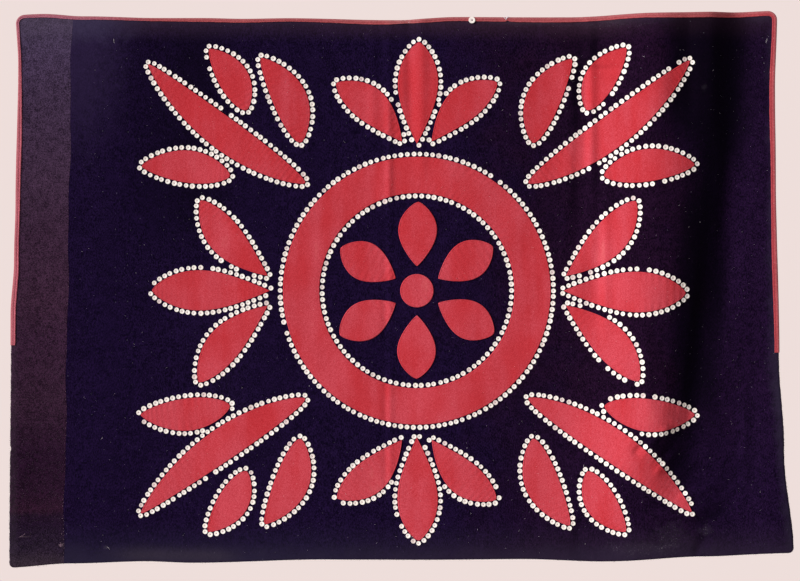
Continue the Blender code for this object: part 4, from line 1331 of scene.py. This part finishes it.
def strands(name, rows, material):
    """Thin four-sided strands in one piece. A row is a list of points and a radius."""
    verts = []
    faces = []
    for points, radius in rows:
        points = np.array(points, float)
        run = unit(np.gradient(points, axis=0))
        side = unit(np.cross(run, (0.13, 0.97, 0.21)))
        up = np.cross(side, run)
        first = len(verts)
        for k, place in enumerate(points):
            reach = radius * (0.35 if k in (0, len(points) - 1) else 1.0)
            for across, off in ((1, 0), (0, 1), (-1, 0), (0, -1)):
                verts.append(tuple(place + side[k] * reach * across + up[k] * reach * off))
        for k in range(len(points) - 1):
            for j in range(4):
                here, there = first + 4 * k, first + 4 * (k + 1)
                faces.append((here + j, here + (j + 1) % 4, there + (j + 1) % 4, there + j))
        faces.append((first + 3, first + 2, first + 1, first))
        last = first + 4 * (len(points) - 1)
        faces.append((last, last + 1, last + 2, last + 3))
    shape = bmesh.new()
    made = [shape.verts.new(vert) for vert in verts]
    for face in faces:
        shape.faces.new([made[i] for i in face])
    place_piece(name, turned_outwards(name, shape), [material])


navy_fibre = thread_material("navy_wool_fibre", (0.03, 0.02, 0.045), 0.15)
brown_fibre = thread_material("brown_wool_fibre", (0.07, 0.045, 0.072), 0.15)
pale_thread = thread_material("pale_cotton_thread", (0.76, 0.7, 0.76), 0.2)

BOTTOM_FIBRES = 1900
SIDE_FIBRES = 520
FUZZ_FIBRES = 5200
LINT_SPECKS = 560

random.seed(59)
shed = {"navy": [], "brown": []}


def shed_fibre(x, z, out_x, out_z, long):
    """A fibre that leaves the raw edge at a place, in a direction near the given one."""
    turn = random.gauss(0.0, 0.65)
    run_x = out_x * math.cos(turn) - out_z * math.sin(turn)
    run_z = out_x * math.sin(turn) + out_z * math.cos(turn)
    length = min(random.expovariate(1 / long) + 0.0006, 3.2 * long)
    y = random.uniform(CLOTH_FRONT, CLOTH_BACK) - float(hang(x, z))
    curl = random.uniform(-0.5, 0.5) * length
    points = []
    for k in range(4):
        t = k / 3
        points.append((
            x + run_x * (length * t - 0.0008) - run_z * curl * t * t, y - random.uniform(0, 0.0006) * t,
            z + run_z * (length * t - 0.0008) + run_x * curl * t * t,
        ))
    kind = "brown" if x < float(seam_x(z)) else "navy"
    shed[kind].append((points, random.uniform(0.00006, 0.00012)))


for _ in range(BOTTOM_FIBRES):
    x = random.uniform(-0.868, 0.895)
    shed_fibre(x, float(edge_place(BOTTOM_EDGE, x)), 0.0, -1.0, 0.0018 if x < -0.75 else 0.0011)
for _ in range(SIDE_FIBRES):
    z = random.uniform(-1.225, -0.745)
    shed_fibre(float(edge_place(LEFT_EDGE, z)), z, -1.0, 0.0, 0.0013)
for _ in range(SIDE_FIBRES):
    z = random.uniform(-1.2, -0.76)
    shed_fibre(float(edge_place(RIGHT_EDGE, z)), z, 1.0, 0.0, 0.001)
strands("navy_edge_fibres", shed["navy"], navy_fibre)
strands("brown_edge_fibres", shed["brown"], brown_fibre)

fuzz_rows = []
for _ in range(FUZZ_FIBRES):
    z = random.uniform(-1.232, -0.012)
    left = float(edge_place(LEFT_EDGE, z)) + 0.004
    x = random.uniform(left, float(seam_x(z)) - 0.003)
    long = random.uniform(0.0015, 0.0042)
    heading = random.uniform(0, math.pi)
    tone = random.random()
    fuzz_rows.append((x, z, heading, long, 0.00016, 0.00022, 0.0, tone, random.uniform(-0.1, 0.1)))
sewn_copies("side_panel_fuzz", STITCH, fuzz_rows, CLOTH_FRONT, [brown_fibre])
lint_rows = []
for _ in range(LINT_SPECKS):
    x = random.uniform(-0.735, 0.86)
    z = random.uniform(-1.215, -0.01)
    long = random.uniform(0.0012, 0.0034)
    on_ring = RING_INNER < math.hypot(x - DESIGN_X, z - DESIGN_Z) < RING_OUTER
    on_red = on_ring or any(inside(points, (x, z)) for _, points in outlines)
    level = 0.0018 if on_red else 0.0
    heading = random.uniform(0, math.pi)
    tone = random.random()
    lint_rows.append((x, z, heading, long, 0.00022, 0.00025, level, tone, random.uniform(-0.08, 0.08)))
sewn_copies("front_lint", STITCH, lint_rows, CLOTH_FRONT, [pale_thread])

# Thread ends: x, z, heading, length, radius and how far each end stands off
thread_rows = []
pinkish_rows = []


def thread_end(x, z, heading, length, radius, off, level):
    """An end of thread that starts in the cloth at a place and curls off it."""
    curl = random.uniform(-0.9, 0.9)
    points = []
    for k in range(7):
        t = k / 6
        bend = heading + curl * t
        px = x + length * t * math.cos(bend)
        pz = z + length * t * math.sin(bend)
        points.append((px, level + 0.0002 - off * math.sin(0.5 * math.pi * t) - float(hang(px, pz)), pz))
    (pinkish_rows if x < -0.75 else thread_rows).append((points, radius))


for k in range(6):
    thread_end(0.253 + random.uniform(-0.003, 0.003), random.uniform(-0.003, 0.006), random.uniform(1.0, 2.2),
               random.uniform(0.004, 0.006), 0.0009, 0.0008, BINDING_FRONT)
for k in range(5):
    thread_end(0.022 + random.uniform(-0.02, 0.02), random.uniform(-0.006, 0.001), random.uniform(0, 6.3),
               random.uniform(0.003, 0.007), 0.00016, 0.001, BINDING_FRONT)
for k in range(10):
    thread_end(-0.7615 + random.uniform(-0.003, 0.003), -1.195 + random.uniform(-0.004, 0.004),
               random.uniform(0, 6.3), random.uniform(0.003, 0.007), 0.00026, 0.001, CLOTH_FRONT)
for x, z, heading, length in (
    (-0.67, -0.953, 0.4, 0.006), (-0.657, -1.199, 0.1, 0.009), (-0.759, -1.135, 1.2, 0.005),
    (-0.76, -1.172, 1.9, 0.005), (-0.857, -1.176, 0.12, 0.018), (-0.64, -0.052, 1.4, 0.011),
    (0.842, -0.052, 0.8, 0.006), (0.846, -0.047, 2.2, 0.005), (0.56, -0.085, 0.3, 0.005),
):
    thread_end(x, z, heading, length, 0.00022, 0.0008, CLOTH_FRONT)
for x, z, size in random.sample(sewn_on, 34):
    turn = random.uniform(0, 2 * math.pi)
    thread_end(x + 0.45 * size * math.cos(turn), z + 0.45 * size * math.sin(turn), turn,
               random.uniform(0.003, 0.008), 0.0002, 0.0016, CLOTH_FRONT - 0.0004)
strands("thread_ends", thread_rows, pale_thread)
strands("pinkish_thread_ends", pinkish_rows, pink_thread)


# Studio: a pale floor well under the hanging blanket, a plain pale surround, soft light that comes
# mainly from the left, and a camera square to the front at the photograph's distance.

FLOOR_LEVEL = -1.75
FLOOR_THICK = 0.03
SURROUND_GLOW = 0.24
PHOTO_DISTANCE = 4.31

bpy.ops.object.select_all(action="DESELECT")
floor_middle = (0, 0, FLOOR_LEVEL - 0.5 * FLOOR_THICK)
bpy.ops.mesh.primitive_cylinder_add(vertices=96, radius=1.6, depth=FLOOR_THICK, location=floor_middle)
floor = bpy.context.object
floor.name = "pale_floor"
floor_paint, tree, shader = new_material("pale_floor_paint")
whole = tree.nodes.new("ShaderNodeTexCoord").outputs["Object"]
clouds = noise(tree, whole, 3.0, 4.0)
colour = blend(tree, clouds, (0.78, 0.7, 0.67), (0.84, 0.76, 0.73))
tree.links.new(colour, shader.inputs["Base Color"])
shader.inputs["Roughness"].default_value = 0.8
floor.data.materials.append(floor_paint)
floor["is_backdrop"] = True

world = bpy.data.worlds.new("pale_surround")
world.use_nodes = True
bpy.context.scene.world = world
tree = world.node_tree
surround = tree.nodes["Background"]
surround.inputs["Color"].default_value = (0.855, 0.73, 0.705, 1)
seen = tree.nodes.new("ShaderNodeLightPath").outputs["Is Camera Ray"]
strength = scale_add(tree, seen, 1.0 - SURROUND_GLOW, SURROUND_GLOW)
tree.links.new(strength, surround.inputs["Strength"])

sun = bpy.data.lights.new("left_light", "SUN")
sun.energy = 4.9
sun.angle = math.radians(30)
sun.color = (1.0, 0.97, 0.95)
sun_lamp = bpy.data.objects.new("left_light", sun)
sun_lamp.rotation_euler = Vector((0.86, 0.44, -0.27)).to_track_quat("-Z", "Y").to_euler()
bpy.context.collection.objects.link(sun_lamp)

fill = bpy.data.lights.new("right_light", "AREA")
fill.energy = 34
fill.size = 2.5
fill_lamp = bpy.data.objects.new("right_light", fill)
fill_lamp.location = (2.6, -4.2, 0.4)
fill_lamp.rotation_euler = Vector((-2.6, 4.2, -1.0)).to_track_quat("-Z", "Y").to_euler()
bpy.context.collection.objects.link(fill_lamp)

camera_data = bpy.data.cameras.new("camera")
camera_data.lens = 85
camera_data.sensor_width = 36
camera = bpy.data.objects.new("camera", camera_data)
camera.location = (0.0114, -PHOTO_DISTANCE, -0.6145)
camera.rotation_euler = (math.radians(90), 0, 0)
bpy.context.collection.objects.link(camera)
bpy.context.scene.camera = camera
bpy.context.scene.view_settings.view_transform = "Standard"

low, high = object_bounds()
